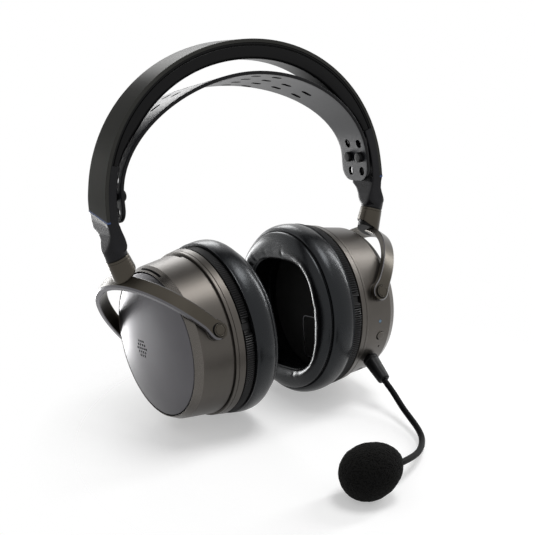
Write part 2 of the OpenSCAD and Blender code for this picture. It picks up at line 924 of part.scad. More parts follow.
// Centres of a hexagonal cluster of holes with a number of rings round the middle one.
function hex_points(rings, pitch) = [
    for (i = [-rings:rings]) for (j = [-rings:rings])
        if (abs(i + j) <= rings)
            [pitch * (i + j / 2), pitch * j * sqrt(3) / 2]
];

notch_low = 6;
notch_high = 17;
module pad_ring(s) {
    color([0.1, 0.1, 0.1])
        in_cup(s)
            difference() {
                union() {
                    tube(ring_r, ring_bore_r, ring_in_w, ring_out_w);
                    tube(spigot_r, ring_bore_r + 1.5, ring_out_w, baffle_w - baffle_t - slip);
                }
                rotate([0, 0, 180 - notch_high])
                    rotate_extrude(angle = notch_high - notch_low)
                        translate([ring_r - 2, ring_in_w - over])
                            square([4, ring_h + 2 * over]);
            }
}

// Squareness-controlled radius of the ear opening at an angle.
function opening_radius(a, grow) =
    let (w = opening_w + grow, h = opening_h + grow)
    1 / pow(pow(abs(cos(a)) / w, opening_power) + pow(abs(sin(a)) / h, opening_power), 1 / opening_power);

// The cushion's section: [share of the way from the opening to the seam, extra radius, place].
function pad_profile() = [
    [1, ring_r - pad_seam_r - 0.1, 0],
    [1, pad_r - pad_seam_r - 1.2, -0.09],
    [1, pad_r - pad_seam_r - 0.3, -0.22],
    [1, pad_r - pad_seam_r, -0.38],
    [1, pad_r - pad_seam_r - 0.2, -0.52],
    [1, pad_r - pad_seam_r - 1.1, -0.64],
    [1, 0, -0.71],
    [0.93, 0, -0.8],
    [0.8, 0, -0.9],
    [0.6, 0, -0.975],
    [0.4, 0, -1],
    [0.2, 0, -0.985],
    [0.06, 0, -0.95],
    [0, 0, -0.91],
    [0, 0.7, -0.86],
    [0, 0.2, -0.7],
    [0, 0.4, -0.3],
    [0, 0.8, 0]
];

module ear_cushion(s) {
    prof = pad_profile();
    m = len(prof);
    n = pad_steps;
    pts = [for (p = prof) for (i = [0:n - 1])
        let (
            a = 360 * i / n,
            ro = pad_seam_r + p[1],
            rin = opening_radius(a, p[1]),
            x = p[0] * ro * cos(a) + (1 - p[0]) * rin * cos(a),
            y = p[0] * ro * sin(a) + (1 - p[0]) * (rin * sin(a) + opening_shift)
        )
        [x, y, pad_base_w + p[2] * pad_depth]];
    faces = [for (j = [0:m - 1]) for (i = [0:n - 1]) for (h = [0, 1])
        let (
            a = j * n + i, b = j * n + (i + 1) % n,
            c = ((j + 1) % m) * n + i, d = ((j + 1) % m) * n + (i + 1) % n
        )
        h == 0 ? [a, b, d] : [a, d, c]];
    color([0.09, 0.09, 0.1])
        in_cup(s)
            polyhedron(pts, faces);
}

// ---------- Inside the cup ----------

module screw_places() {
    for (a = [45:90:315])
        rotate([0, 0, a])
            translate([screw_ring_r, 0, 0])
                children();
}

module baffle(s) {
    color([0.12, 0.12, 0.12])
        in_cup(s)
            difference() {
                disc(lip_bore_r - 0.2, baffle_w - baffle_t, baffle_w);
                disc(port_r, baffle_w - baffle_t - over, baffle_w + over);
                screw_places()
                    disc(screw_r + 0.25, baffle_w - baffle_t - over, baffle_w + over);
            }
}

module driver_cloth(s) {
    color([0.06, 0.06, 0.06])
        in_cup(s)
            disc(ring_bore_r - soft_gap, baffle_w - baffle_t - slip - 0.5, baffle_w - baffle_t - slip);
}

module driver_frame(s) {
    color([0.3, 0.3, 0.32])
        in_cup(s)
            difference() {
                tube(frame_r, port_r, driver_w, driver_w + frame_t);
                screw_places()
                    disc(screw_r + slip, driver_w - over, driver_w + frame_t + over);
            }
}

module diaphragm(s) {
    color("gold")
        in_cup(s)
            disc(port_r + 2, driver_w + frame_t + slip, driver_w + frame_t + film_t);
}

module driver_magnet(s) {
    from = driver_w + frame_t + film_t + slip;
    color([0.4, 0.4, 0.42])
        in_cup(s)
            difference() {
                disc(magnet_r, from, from + magnet_t);
                for (p = hex_points(1, magnet_r / 2))
                    translate([p[0], p[1], 0])
                        disc(magnet_r / 8, from - over, from + magnet_t + over);
            }
}

module baffle_screws(s) {
    color("black")
        in_cup(s)
            screw_places()
                disc(screw_r, baffle_w - baffle_t + slip, driver_w + frame_t - slip);
}

module circuit_board() {
    color("darkgreen")
        in_cup(1)
            translate([-core_long / 2, -core_high / 2, back_w])
                cube([core_long, core_high, board_t]);
}

module battery() {
    color("lightgray")
        in_cup(-1)
            translate([-core_long / 2, -core_high / 2, back_w])
                cube([core_long, core_high, battery_t]);
}

module power_button() {
    top = drum_r(button_w) + button_proud;
    inner = drum_r(button_w) - wall_t - 0.5;
    color("dimgray")
        in_cup(1)
            on_drum(button_angle, button_w) {
                disc(button_r, inner - 1, top);
                disc(button_r + 0.8, inner - 1.2, inner - 0.2);
            }
}

module status_light() {
    color("white")
        in_cup(1)
            on_drum(led_angle, led_w)
                disc(led_r, drum_r(led_w) - wall_t - 1.5, drum_r(led_w) - 0.1);
}

// A 3.5 mm socket: a barrel from the wall inwards with a blind bore.
module socket_barrel(w) {
    face = drum_r(w) - 0.4;
    difference() {
        disc(socket_r, face - jack_depth - 1.5, face);
        disc(jack_bore_r, face - jack_depth, face + over);
    }
}

module boom_socket() {
    color("black")
        in_cup(1)
            on_drum(boom_angle, boom_w)
                socket_barrel(boom_w);
}

module cable_socket() {
    color("black")
        in_cup(1)
            on_drum(jack_angle, jack_w)
                socket_barrel(jack_w);
}

// Oval section of the charging port, across the drum.
charge_long = 9.4;
charge_high = 3.6;
module charge_shape(grow, from, to) {
    translate([0, 0, from])
        linear_extrude(to - from)
            rotate(90)
                slot_shape(charge_high / 2 + grow, charge_long + 2 * grow);
}

module charging_port() {
    face = drum_r(charge_w) - 0.4;
    color("silver")
        in_cup(1)
            on_drum(charge_angle, charge_w)
                difference() {
                    charge_shape(0, face - 8, face);
                    charge_shape(-0.5, face - 6.5, face + over);
                }
}

// ---------- Boom microphone ----------

// The grip's base clears the drum's flare across its own width.
plug_base = drum_r(boom_w - plug_r) + plug_gap;
module boom_plug() {
    color([0.1, 0.1, 0.1])
        in_cup(1)
            on_drum(boom_angle, boom_w) {
                translate([0, 0, plug_base])
                    cylinder(r1 = plug_r, r2 = plug_end_r, h = plug_len);
                disc(plug_pin_r, plug_base - plug_pin_len, plug_base + over);
            }
}

// A point on the boom's axis at a distance from the cup's axis, in the part's frame.
function boom_point(r) =
    let (
        z = -r * sin(boom_angle),
        c = cos(cup_pitch),
        s = sin(cup_pitch)
    )
    [pivot_x + boom_w * c + z * s, -r * cos(boom_angle), pivot_z - boom_w * s + z * c];
neck_from = boom_point(plug_base + plug_len + slip + run_fit);
neck_out = boom_point(plug_base + plug_len + neck_start);

// A smooth curve through points, with tangents along the neighbours' chord.
function spline(p, i, t) =
    let (
        a = p[max(i - 1, 0)], b = p[i], c = p[i + 1], d = p[min(i + 2, len(p) - 1)],
        t2 = t * t, t3 = t2 * t
    )
    0.5 * (2 * b + (c - a) * t + (2 * a - 5 * b + 4 * c - d) * t2 + (3 * b - a - 3 * c + d) * t3);

function neck_route() = concat([neck_from], [neck_out], [for (p = boom_route) neck_out + p]);
neck_end = neck_out + boom_route[len(boom_route) - 1];
foam_at = neck_out + foam_offset;

function neck_points() =
    let (p = neck_route())
    concat(
        [for (i = [0:len(p) - 2]) for (k = [0:neck_steps - 1]) spline(p, i, k / neck_steps)],
        [p[len(p) - 1]]
    );

// Rings of a round tube along points, each square to the path there.
function tube_rings(path, r, sides) =
    let (n = len(path))
    [for (i = [0:n - 1])
        let (
            d = path[min(i + 1, n - 1)] - path[max(i - 1, 0)],
            t = d / norm(d),
            u0 = cross(t, [0, 0, 1]),
            u = u0 / norm(u0),
            v = cross(t, u)
        )
        [for (k = [0:sides - 1])
            path[i] + r * (u * cos(360 * k / sides) + v * sin(360 * k / sides))]];

module gooseneck() {
    color([0.1, 0.1, 0.1])
        skin(tube_rings(neck_points(), neck_r, neck_sides), true);
}

// Frame of the capsule: Z points from the foam's centre back along the gooseneck's end.
module on_capsule() {
    d = neck_end - foam_at;
    translate(foam_at)
        rotate([0, acos(d[2] / norm(d)), atan2(d[1], d[0])])
            children();
}

function capsule_top() = norm(neck_end - foam_at) - slip - run_fit;

module mic_capsule() {
    color([0.2, 0.2, 0.2])
        on_capsule()
            disc(capsule_r, capsule_top() - capsule_len, capsule_top());
}

// Egg of revolution, blunt at one end, with a pocket for the capsule and a way for the neck.
module windscreen() {
    steps = 24;
    egg = [for (i = [0:steps])
        let (a = 180 * i / steps, r = foam_wide * sin(a) * (1 + 0.07 * cos(a)))
        [i == 0 || i == steps ? 0 : r, -foam_long * cos(a)]];
    color([0.05, 0.05, 0.05])
        difference() {
            translate(foam_at)
                rotate(foam_turn)
                    rotate_extrude($fn = 48)
                        polygon([for (i = [steps:-1:0]) egg[i]]);
            on_capsule() {
                disc(capsule_r + soft_gap, capsule_top() - capsule_len - soft_gap, capsule_top() + soft_gap);
                disc(neck_r + soft_gap + 0.3, 0, 2 * foam_long);
            }
        }
}

headband_spring();
headband_lining();
suspension_strap();
end_piece(1);  // end_piece_left
end_piece(-1);  // end_piece_right
accent_stripe(1);  // accent_stripe_left
accent_stripe(-1);  // accent_stripe_right
strap_pegs(1);  // strap_pegs_left
strap_pegs(-1);  // strap_pegs_right
end_screw(1);  // end_screw_left
end_screw(-1);  // end_screw_right
swivel_washer(1);  // swivel_washer_left
swivel_washer(-1);  // swivel_washer_right
swivel_sleeve(1);  // swivel_sleeve_left
swivel_sleeve(-1);  // swivel_sleeve_right
sleeve_insert(1);  // sleeve_insert_left
sleeve_insert(-1);  // sleeve_insert_right
yoke(1);  // yoke_left
yoke(-1);  // yoke_right
pivot_pins(1);  // pivot_pins_left
pivot_pins(-1);  // pivot_pins_right
cup_housing(1);  // cup_housing_left
cup_housing(-1);  // cup_housing_right
cup_cover(1);  // cup_cover_left
cup_cover(-1);  // cup_cover_right
pad_ring(1);  // pad_ring_left
pad_ring(-1);  // pad_ring_right
ear_cushion(1);  // ear_cushion_left
ear_cushion(-1);  // ear_cushion_right
baffle(1);  // baffle_left
baffle(-1);  // baffle_right
driver_cloth(1);  // driver_cloth_left
driver_cloth(-1);  // driver_cloth_right
driver_frame(1);  // driver_frame_left
driver_frame(-1);  // driver_frame_right
diaphragm(1);  // diaphragm_left
diaphragm(-1);  // diaphragm_right
driver_magnet(1);  // driver_magnet_left
driver_magnet(-1);  // driver_magnet_right
baffle_screws(1);  // baffle_screws_left
baffle_screws(-1);  // baffle_screws_right
circuit_board();
battery();
power_button();
status_light();
boom_socket();
charging_port();
cable_socket();
boom_plug();
gooseneck();
mic_capsule();
windscreen();
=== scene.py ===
# %% [markdown]
# # A wireless headset in Blender, piece by piece
# The headset hangs together like this: a sprung steel headband carries two end pieces, a rubber
# strap is buttoned on between them, and under each end a sleeve, a curved yoke and two pins hold a
# round cup with a soft cushion. A thin boom with a foam ball plugs into the left cup.
#
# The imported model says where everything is. Here each visible piece is made again as a fine
# surface worked out with numpy, in the same place, and gets a material made of nodes.

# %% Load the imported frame
import json

import bmesh
import bpy
import numpy as np
from mathutils import Matrix, Vector


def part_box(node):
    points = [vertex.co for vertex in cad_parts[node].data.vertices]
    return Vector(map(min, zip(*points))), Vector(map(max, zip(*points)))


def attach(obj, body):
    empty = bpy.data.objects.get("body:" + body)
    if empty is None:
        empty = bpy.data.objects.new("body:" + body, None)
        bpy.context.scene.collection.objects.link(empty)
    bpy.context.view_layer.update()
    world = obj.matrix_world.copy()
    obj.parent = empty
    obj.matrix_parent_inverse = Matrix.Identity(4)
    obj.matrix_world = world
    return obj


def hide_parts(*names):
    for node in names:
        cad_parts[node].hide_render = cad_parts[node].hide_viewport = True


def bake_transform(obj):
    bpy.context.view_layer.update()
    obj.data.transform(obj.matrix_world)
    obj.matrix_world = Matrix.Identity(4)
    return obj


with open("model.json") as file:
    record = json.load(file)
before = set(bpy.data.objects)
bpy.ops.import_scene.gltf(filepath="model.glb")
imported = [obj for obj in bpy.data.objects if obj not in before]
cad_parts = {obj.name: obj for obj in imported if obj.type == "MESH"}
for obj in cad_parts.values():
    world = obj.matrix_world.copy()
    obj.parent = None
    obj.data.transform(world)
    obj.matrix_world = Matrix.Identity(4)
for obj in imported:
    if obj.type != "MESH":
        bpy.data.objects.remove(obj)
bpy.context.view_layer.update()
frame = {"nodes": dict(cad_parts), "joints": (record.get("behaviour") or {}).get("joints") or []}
joints = {joint["name"]: joint for joint in frame["joints"]}

# %% [markdown]
# ## Surfaces from arrays
# All shapes here are grids of points: one direction runs along the piece, the other round its
# section. A grid has a simple rule for its faces, so one helper turns any grid into a mesh. The
# numbers are millimetres, as on a drawing, and become metres when the mesh is made.

# %% Grids, meshes and objects
MM = 0.001
SIDES = {"left": 1, "right": -1}


def skin(points, ring=False, caps=True, slots=0):
    """A surface over a grid of points, whose rows are closed loops.

    Point (i, j) is joined to (i, j+1), (i+1, j+1) and (i+1, j). The last column joins the first,
    and with ring=True the last row joins the first too. Otherwise caps closes each end by one flat
    face. slots is the material of each column, or one number for all.
    """
    rows, columns = points.shape[:2]
    index = np.arange(rows * columns).reshape(rows, columns)
    start = index if ring else index[:-1]
    end = np.roll(index, -1, 0) if ring else index[1:]
    quads = np.stack([start, np.roll(start, -1, 1), np.roll(end, -1, 1), end], -1)
    faces = quads.reshape(-1, 4).tolist()
    marks = np.broadcast_to(slots, quads.shape[:2]).ravel().tolist()
    if caps and not ring:
        faces += [index[0][::-1].tolist(), index[-1].tolist()]
        marks += [slots if np.ndim(slots) == 0 else 0] * 2
    return points.reshape(-1, 3), faces, marks


def tidy_mesh(mesh, crease=35.0):
    """Merges doubled points, turns the faces outwards and marks edges sharper than an angle."""
    work = bmesh.new()
    work.from_mesh(mesh)
    bmesh.ops.remove_doubles(work, verts=work.verts, dist=0.002 * MM)
    bmesh.ops.recalc_face_normals(work, faces=work.faces)
    work.to_mesh(mesh)
    work.free()
    mesh.shade_smooth()
    mesh.set_sharp_from_angle(angle=np.radians(crease))


def build(name, *shapes, crease=35.0):
    """An object from one or more surfaces given in millimetres."""
    points, faces, marks = [], [], []
    for shape_points, shape_faces, shape_marks in shapes:
        first = sum(len(p) for p in points)
        points.append(shape_points)
        faces += [[first + i for i in face] for face in shape_faces]
        marks += shape_marks
    mesh = bpy.data.meshes.new(name)
    mesh.from_pydata((np.concatenate(points) * MM).tolist(), [], faces)
    mesh.polygons.foreach_set("material_index", marks)
    tidy_mesh(mesh, crease)
    piece = bpy.data.objects.new(name, mesh)
    bpy.context.scene.collection.objects.link(piece)
    return piece


def bake(piece, crease=35.0):
    """Makes the modifiers' result the piece's own mesh."""
    shown = piece.evaluated_get(bpy.context.evaluated_depsgraph_get())
    mesh = bpy.data.meshes.new_from_object(shown)
    piece.modifiers.clear()
    piece.data = mesh
    mesh.shade_smooth()
    mesh.set_sharp_from_angle(angle=np.radians(crease))


def carve(piece, *shapes, finish=None):
    """Cuts closed shapes out of a piece; the cut faces take the finish."""
    tool = build("tool", *shapes)
    if finish:
        tool.data.materials.append(finish)
    cut = piece.modifiers.new("cut", "BOOLEAN")
    cut.operation, cut.solver, cut.object = "DIFFERENCE", "EXACT", tool
    cut.material_mode = "TRANSFER"
    bake(piece)
    bpy.data.objects.remove(tool)


def finish_piece(piece, body, slot, nodes, *materials, even=True):
    """Gives a piece its materials and its body, and hides the nodes of the frame that it stands
    for.

    even=True lets the large flat faces rule the shading near their small rounded edges.
    """
    for place, material in enumerate(materials):
        if place < len(piece.data.materials):
            piece.data.materials[place] = material
        else:
            piece.data.materials.append(material)
    if even:
        weigh = piece.modifiers.new("even shading", "WEIGHTED_NORMAL")
        weigh.keep_sharp = True
    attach(piece, body)
    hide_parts(*nodes)
    return piece


def pair(name, shapes, body, slot, node, *materials, crease=35.0, even=True, cuts=None):
    """A left and a right piece from shapes(side), carved with cuts(side) if there are any.

    body and node are without their side, except for the headband, which has none.
    """
    pieces = []
    for word, side in SIDES.items():
        piece = build(f"{name}_{word}", *shapes(side), crease=crease)
        if cuts:
            for material in materials:
                piece.data.materials.append(material)
            # The cut walls take the matt black, painted as shade in the holes.
            carve(piece, *cuts(side), finish=recess_painted_shade)
        carrier = body if body == "headband" else f"{word}_{body}"
        nodes = [f"{node}_{word}"] if node else []
        pieces.append(finish_piece(piece, carrier, slot, nodes, *materials, even=even))
    print(f"{name}: {len(piece.data.polygons)} faces on each side")
    return pieces


# %% [markdown]
# ## Profiles and blends
# Machined and moulded pieces never have knife edges. So every outline is drawn with plain corners,
# and one helper rounds them by a small amount. A soft step is used wherever something fades in.

# %% Soft steps, rounded outlines and revolved shapes
AXIS = 0.001  # an outline that reaches the axis of its revolution stops this far from it


def soft_step(x):
    """0 below 0, 1 above 1 and 3x² - 2x³ between."""
    x = np.clip(x, 0, 1)
    return x * x * (3 - 2 * x)


def unit(vectors):
    """Each vector divided by its length."""
    return vectors / np.linalg.norm(vectors, axis=-1, keepdims=True)


def full_turn(steps):
    """Evenly spaced angles round a circle, without the last one, which is the first again."""
    return np.linspace(0, 2 * np.pi, steps, endpoint=False)


def polar(radius, angle, height):
    """Points (r cos a, r sin a, h)."""
    x, y = radius * np.cos(angle), radius * np.sin(angle)
    return np.stack([x, y, np.broadcast_to(height, x.shape)], -1)


def rounded(corners, cuts, steps=4):
    """A closed outline with curved corners.

    The points at a cut's distance on both sides of a corner, a and c, are joined by the parabola
    (1-t)² a + 2t(1-t) b + t² c, whose middle point b is the corner itself.
    """
    corners = np.asarray(corners, float)
    cuts = np.broadcast_to(cuts, len(corners))[:, None]
    back = np.roll(corners, 1, 0) - corners
    ahead = np.roll(corners, -1, 0) - corners
    a = corners + cuts * back / np.linalg.norm(back, axis=1, keepdims=True)
    c = corners + cuts * ahead / np.linalg.norm(ahead, axis=1, keepdims=True)
    t = np.linspace(0, 1, steps + 1)[None, :, None]
    curve = (1 - t) ** 2 * a[:, None] + 2 * t * (1 - t) * corners[:, None] + t**2 * c[:, None]
    return curve.reshape(-1, 2)


def revolved(outline, steps=128, slots=0):
    """Turns a closed outline of (radius, height) round the local Z axis."""
    radius, height = outline.T
    return skin(polar(radius, full_turn(steps)[:, None], height), ring=True, slots=slots)


def moved(shape, place, side=1):
    """A surface carried from its local frame into the headset's frame, and mirrored for a side."""
    points, faces, marks = shape
    return place(points, side), faces, marks


def place_by(origin, x_axis, y_axis, z_axis):
    """A function that puts local points at origin + x·x_axis + y·y_axis + z·z_axis."""
    axes = np.array([x_axis, y_axis, z_axis], float)

    def put(points, side=1):
        out = np.asarray(points, float) @ axes + np.array(origin, float)
        out[..., 0] *= side
        return out

    return put


# %% [markdown]
# ## Measures
# The joints of the frame say where the swivels and the tilt axes are, and the boxes of the nodes
# say how wide the band and the strap are. The other measures are the drawing's own. Three local
# frames follow from them, so that a sleeve, a yoke and a cup can be drawn straight and then placed.

# %% Measures from the frame
swivel_at = np.array(joints["left_swivel"]["pos_m"]) / MM
tilt_at = np.array(joints["left_tilt"]["pos_m"]) / MM
spring_low, spring_high = (np.array(corner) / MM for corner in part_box("headband_spring"))
strap_low, strap_high = (np.array(corner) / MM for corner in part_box("suspension_strap"))

band_half = spring_high[0]  # half of the band's outer width
band_rise = 83.4  # the arch above its straight sides
band_power = 2.055  # how square the arch is, 2 is an ellipse
band_side = spring_high[2] - band_rise  # height where the straight sides end
band_width = spring_high[1] - spring_low[1]
band_y = (spring_high[1] + spring_low[1]) / 2
steel = 2.0  # thickness of the steel
stripe_z = band_side - 1
stripe_slope = np.tan(np.radians(15))
lining_end = band_side + 26.2  # the lining stops here, and the end piece's lap begins

lean = np.radians(21)  # of the swivel axis, outwards
pitch = np.radians(2.5)  # of the cup's axis, downwards
yoke_slope = np.radians(49)  # of the yoke's plane, from level
tilt_line = np.array(joints["left_tilt"]["axis"])
tilt_up = np.array([0, -tilt_line[2], tilt_line[1]])

on_swivel = place_by(
    swivel_at, [np.cos(lean), 0, -np.sin(lean)], [0, 1, 0], [np.sin(lean), 0, np.cos(lean)]
)
yoke_out = np.cos(yoke_slope) * np.array([1, 0, 0]) + np.sin(yoke_slope) * tilt_up
yoke_over = np.cos(yoke_slope) * tilt_up - np.sin(yoke_slope) * np.array([1, 0, 0])
in_yoke = place_by(tilt_at, yoke_out, tilt_line, yoke_over)
# In a cup X points backwards, Y up from the cup's own axis and Z outwards along it.
cup_up = np.array([np.sin(pitch), 0, np.cos(pitch)])
cup_out = np.array([np.cos(pitch), 0, -np.sin(pitch)])
in_cup = place_by(tilt_at, [0, 1, 0], cup_up, cup_out)
print(f"band {2 * band_half:.1f} mm wide")
print(f"swivels at x {swivel_at[0]:.2f}, cups at x {tilt_at[0]:.2f}")


# %% [markdown]
# ## Materials as formulas
# A material is a small sum over the surface: noise for cloudiness and brushing, waves for a weave,
# a cell pattern for leather. Math nodes do that, but long chains are hard to read. So a thin
# wrapper round a socket lets the sums be written in Python, and each operator adds its node.

# %% A wrapper for sockets and a maker of nodes
class Signal:
    """A value that changes over a surface. +, -, * and / add Math nodes."""

    def __init__(self, finish, socket):
        self.finish, self.socket = finish, socket

    def maths(self, operation, *values):
        return self.finish.node("ShaderNodeMath", {"operation": operation}, dict(enumerate(values)))

    def __add__(self, other):
        return self.maths("ADD", self, other)

    def __sub__(self, other):
        return self.maths("SUBTRACT", self, other)

    def __rsub__(self, other):
        return self.maths("SUBTRACT", other, self)

    def __mul__(self, other):
        return self.maths("MULTIPLY", self, other)

    def __truediv__(self, other):
        return self.maths("DIVIDE", self, other)

    __radd__ = __add__
    __rmul__ = __mul__

    def between(self, low, high):
        """0 at low and 1 at high, held there outside."""
        return self.finish.node(
            "ShaderNodeMapRange", {}, {"Value": self, "From Min": low, "From Max": high}
        )


class Finish:
    """A material with one main shader, whose fixed numbers sit on the shader's own sockets."""

    def __init__(self, name, **fixed):
        self.material = bpy.data.materials.new(name)
        self.material.use_nodes = True
        self.tree = self.material.node_tree
        self.shader = next(n for n in self.tree.nodes if n.type == "BSDF_PRINCIPLED")
        for socket, value in fixed.items():
            self.shader.inputs[socket.replace("_", " ")].default_value = value

    def node(self, kind, settings, sockets, output=0):
        """Adds a node: its type, settings, the values or links of its sockets, and an output."""
        made = self.tree.nodes.new(kind)
        for name, value in settings.items():
            if name == "stops":
                self.set_stops(made.color_ramp, value)
            else:
                setattr(made, name, value)
        for key, value in sockets.items():
            if isinstance(value, Signal):
                self.tree.links.new(value.socket, made.inputs[key])
            else:
                made.inputs[key].default_value = value
        return Signal(self, made.outputs[output])

    @staticmethod
    def set_stops(ramp, stops):
        """Sets a colour ramp's stops from pairs of place and colour."""
        while len(ramp.elements) < len(stops):
            ramp.elements.new(1.0)
        for element, (place, colour) in zip(ramp.elements, stops):
            element.position, element.color = place, colour

    def feed(self, **signals):
        """Links signals to the shader's sockets."""
        for socket, signal in signals.items():
            self.tree.links.new(signal.socket, self.shader.inputs[socket.replace("_", " ")])
        return self

    def place(self, scale=(1, 1, 1), turn=(0, 0, 0)):
        """Object coordinates in millimetres, stretched and turned."""
        at = self.node("ShaderNodeTexCoord", {}, {}, "Object")
        scaled = [1 / MM * s for s in scale]
        return self.node("ShaderNodeMapping", {}, {"Vector": at, "Rotation": turn, "Scale": scaled})

    def noise(self, scale, detail=2.0, at=None):
        """Cloudy noise, with about this many clouds to a millimetre."""
        sockets = {"Vector": at or self.place(), "Scale": scale, "Detail": detail}
        return self.node("ShaderNodeTexNoise", {}, sockets)

    def mix(self, factor, low, high):
        """The colour low where factor is 0 and high where it is 1."""
        return self.node("ShaderNodeMix", {"data_type": "RGBA"}, {0: factor, 6: low, 7: high}, 2)

    def bump(self, height, distance, strength=1.0):
        """A normal that follows a height, which is 1 at a distance in millimetres."""
        sockets = {"Height": height, "Distance": distance * MM, "Strength": strength}
        return self.node("ShaderNodeBump", {}, sockets)


def colour(red, green, blue):
    """A screen colour of 0 to 255 as the linear colour that a shader takes."""
    c = np.array([red, green, blue]) / 255
    linear = np.where(c <= 0.04045, c / 12.92, ((c + 0.055) / 1.055) ** 2.4)
    return [*linear.tolist(), 1.0]


# %% [markdown]
# ## Metals
# The shells, yokes and sleeves are die-cast and painted in a warm satin gunmetal, so they are
# metallic but not mirror-like, with a fine grain that scatters the light. Turned and polished
# edges are a little lighter and glossier. The spring is rolled steel: its brushing runs along the
# band, so its noise is stretched that way.

# %% Gunmetal, spring steel and polished edges
def cast_metal(name, base, light, roughness, grain=0.004):
    """Satin metal: two close tones by cloudy noise, and a grain of fine noise in the gloss."""
    f = Finish(name, Metallic=0.9)
    cloud = f.noise(0.035, 3.0)
    speck = f.noise(4.0, 2.0)
    f.feed(
        Base_Color=f.mix(cloud.between(0.3, 0.7), colour(*base), colour(*light)),
        Roughness=speck * 0.08 + cloud * 0.06 + (roughness - 0.07),
        Normal=f.bump(speck, grain),
    )
    return f.material


gunmetal_shell = cast_metal("gunmetal_shell", (76, 73, 69), (84, 80, 76), 0.37)
gunmetal_alloy = cast_metal("gunmetal_alloy", (62, 58, 52), (70, 66, 59), 0.32)
gunmetal_cover = cast_metal("gunmetal_cover", (80, 79, 82), (87, 86, 89), 0.34)
turned_edge = cast_metal("turned_edge", (86, 83, 79), (96, 92, 88), 0.27)
polished_edge = cast_metal("polished_edge", (88, 87, 90), (96, 95, 98), 0.26, 0.002)


def brushed_steel():
    """Rolled steel: noise stretched along the band gives fine lines in tone, gloss and height."""
    f = Finish("spring_steel", Metallic=0.9, Specular_Tint=(0.45, 0.45, 0.45, 1.0))
    lines = f.noise(1.0, 4.0, f.place((0.03, 5.0, 0.03)))
    cloud = f.noise(0.03, 2.0)
    f.feed(
        Base_Color=f.mix(lines.between(0.25, 0.75), colour(42, 42, 40), colour(51, 51, 49)),
        Roughness=lines * 0.1 + cloud * 0.08 + 0.24,
        Normal=f.bump(lines, 0.006),
    )
    return f.material


spring_steel = brushed_steel()

# %% [markdown]
# ## Plastics, rubber and leather
# Moulded plastic has a faint spark-eroded texture, rubber is softer and duller, and the cushion's
# covering is an embossed film: small cells with fine creases between them. All of them are nearly
# black, so what the eye sees is mostly how they shine.

# %% Plastics and rubber
def moulded(name, base, roughness, grain_scale=3.0, grain=0.01, specular=0.35):
    """Textured plastic: fine noise as height, and cloudy noise in the gloss."""
    f = Finish(name, Specular_IOR_Level=specular)
    speck = f.noise(grain_scale, 3.0)
    cloud = f.noise(0.06, 3.0)
    dark = colour(*base)
    light = [1.25 * c for c in dark[:3]] + [1.0]
    f.feed(
        Base_Color=f.mix(cloud.between(0.35, 0.65), dark, light),
        Roughness=speck * 0.1 + cloud * 0.1 + (roughness - 0.1),
        Normal=f.bump(speck, grain),
    )
    return f.material


black_plastic = moulded("black_plastic", (12, 12, 13), 0.36, specular=0.12)
charcoal_plastic = moulded("charcoal_plastic", (17, 17, 20), 0.28, specular=0.16)
band_lining = moulded("band_lining", (8, 8, 9), 0.3, 2.0, 0.006, 0.12)
strap_rubber = moulded("strap_rubber", (34, 35, 39), 0.36, 2.4, 0.02, 0.45)
# A darker, duller copy of the strap's rubber: painted shade on its edges and slot walls.
strap_edge_painted_shade = moulded("strap_edge_painted_shade", (14, 14, 16), 0.34, 2.4, 0.01, 0.14)
ribbed_plastic = moulded("ribbed_plastic", (12, 12, 13), 0.36, 3.0, 0.006, 0.25)
neck_rubber = moulded("neck_rubber", (10, 10, 11), 0.5, 2.5, 0.01, 0.05)
# Painted shade: a matt black for the walls of holes, slots and vents and for the gap round each
# cover.
recess_painted_shade = moulded("recess_painted_shade", (6, 6, 6), 0.7, specular=0.1)


def accent_blue():
    """A thin anodised strip: blue with fine lines across."""
    f = Finish("blue_accent", Specular_IOR_Level=0.1)
    lines = f.noise(1.0, 3.0, f.place((4.0, 0.4, 4.0)))
    f.feed(
        Base_Color=f.mix(lines, colour(58, 76, 116), colour(70, 90, 132)),
        Roughness=lines * 0.15 + 0.45,
    )
    return f.material


blue_accent = accent_blue()

# %% Leather, cloth and foam
def leatherette():
    """Embossed film: cells from a Voronoi distance, creases where cells meet, painted darker as
    shade, and soft clouds.
    """
    f = Finish("black_leatherette", Specular_IOR_Level=0.3, Specular_Tint=(0.9, 0.95, 1.0, 1.0))
    bend = f.noise(0.4, 2.0)
    edges = {"feature": "DISTANCE_TO_EDGE"}
    cells = f.node("ShaderNodeTexVoronoi", edges, {"Vector": f.place(), "Scale": 1.5})
    ridge = cells.between(0.0, 0.12)
    cloud = f.noise(0.05, 3.0)
    f.feed(
        # The creases between cells are painted darker, as shade.
        Base_Color=f.mix(ridge * 0.6 + cloud * 0.4, colour(5, 5, 6), colour(11, 12, 14)),
        Roughness=0.34 - ridge * 0.06 - cloud * 0.08,
        Normal=f.bump(ridge + bend * 0.3, 0.02, 0.5),
    )
    return f.material


def woven_cloth(name, tone):
    """A fine plain weave: two sets of waves multiplied."""
    f = Finish(name, Specular_IOR_Level=0.2, Sheen_Weight=0.1)
    warp, weft = (
        f.node("ShaderNodeTexWave", {"bands_direction": way}, {"Vector": f.place(), "Scale": 0.55})
        for way in "YZ"
    )
    weave = warp * weft
    f.feed(
        Base_Color=f.mix(weave, [0.5 * c for c in tone[:3]] + [1.0], tone),
        Roughness=0.85 - weave * 0.15,
        Normal=f.bump(weave, 0.08),
    )
    return f.material


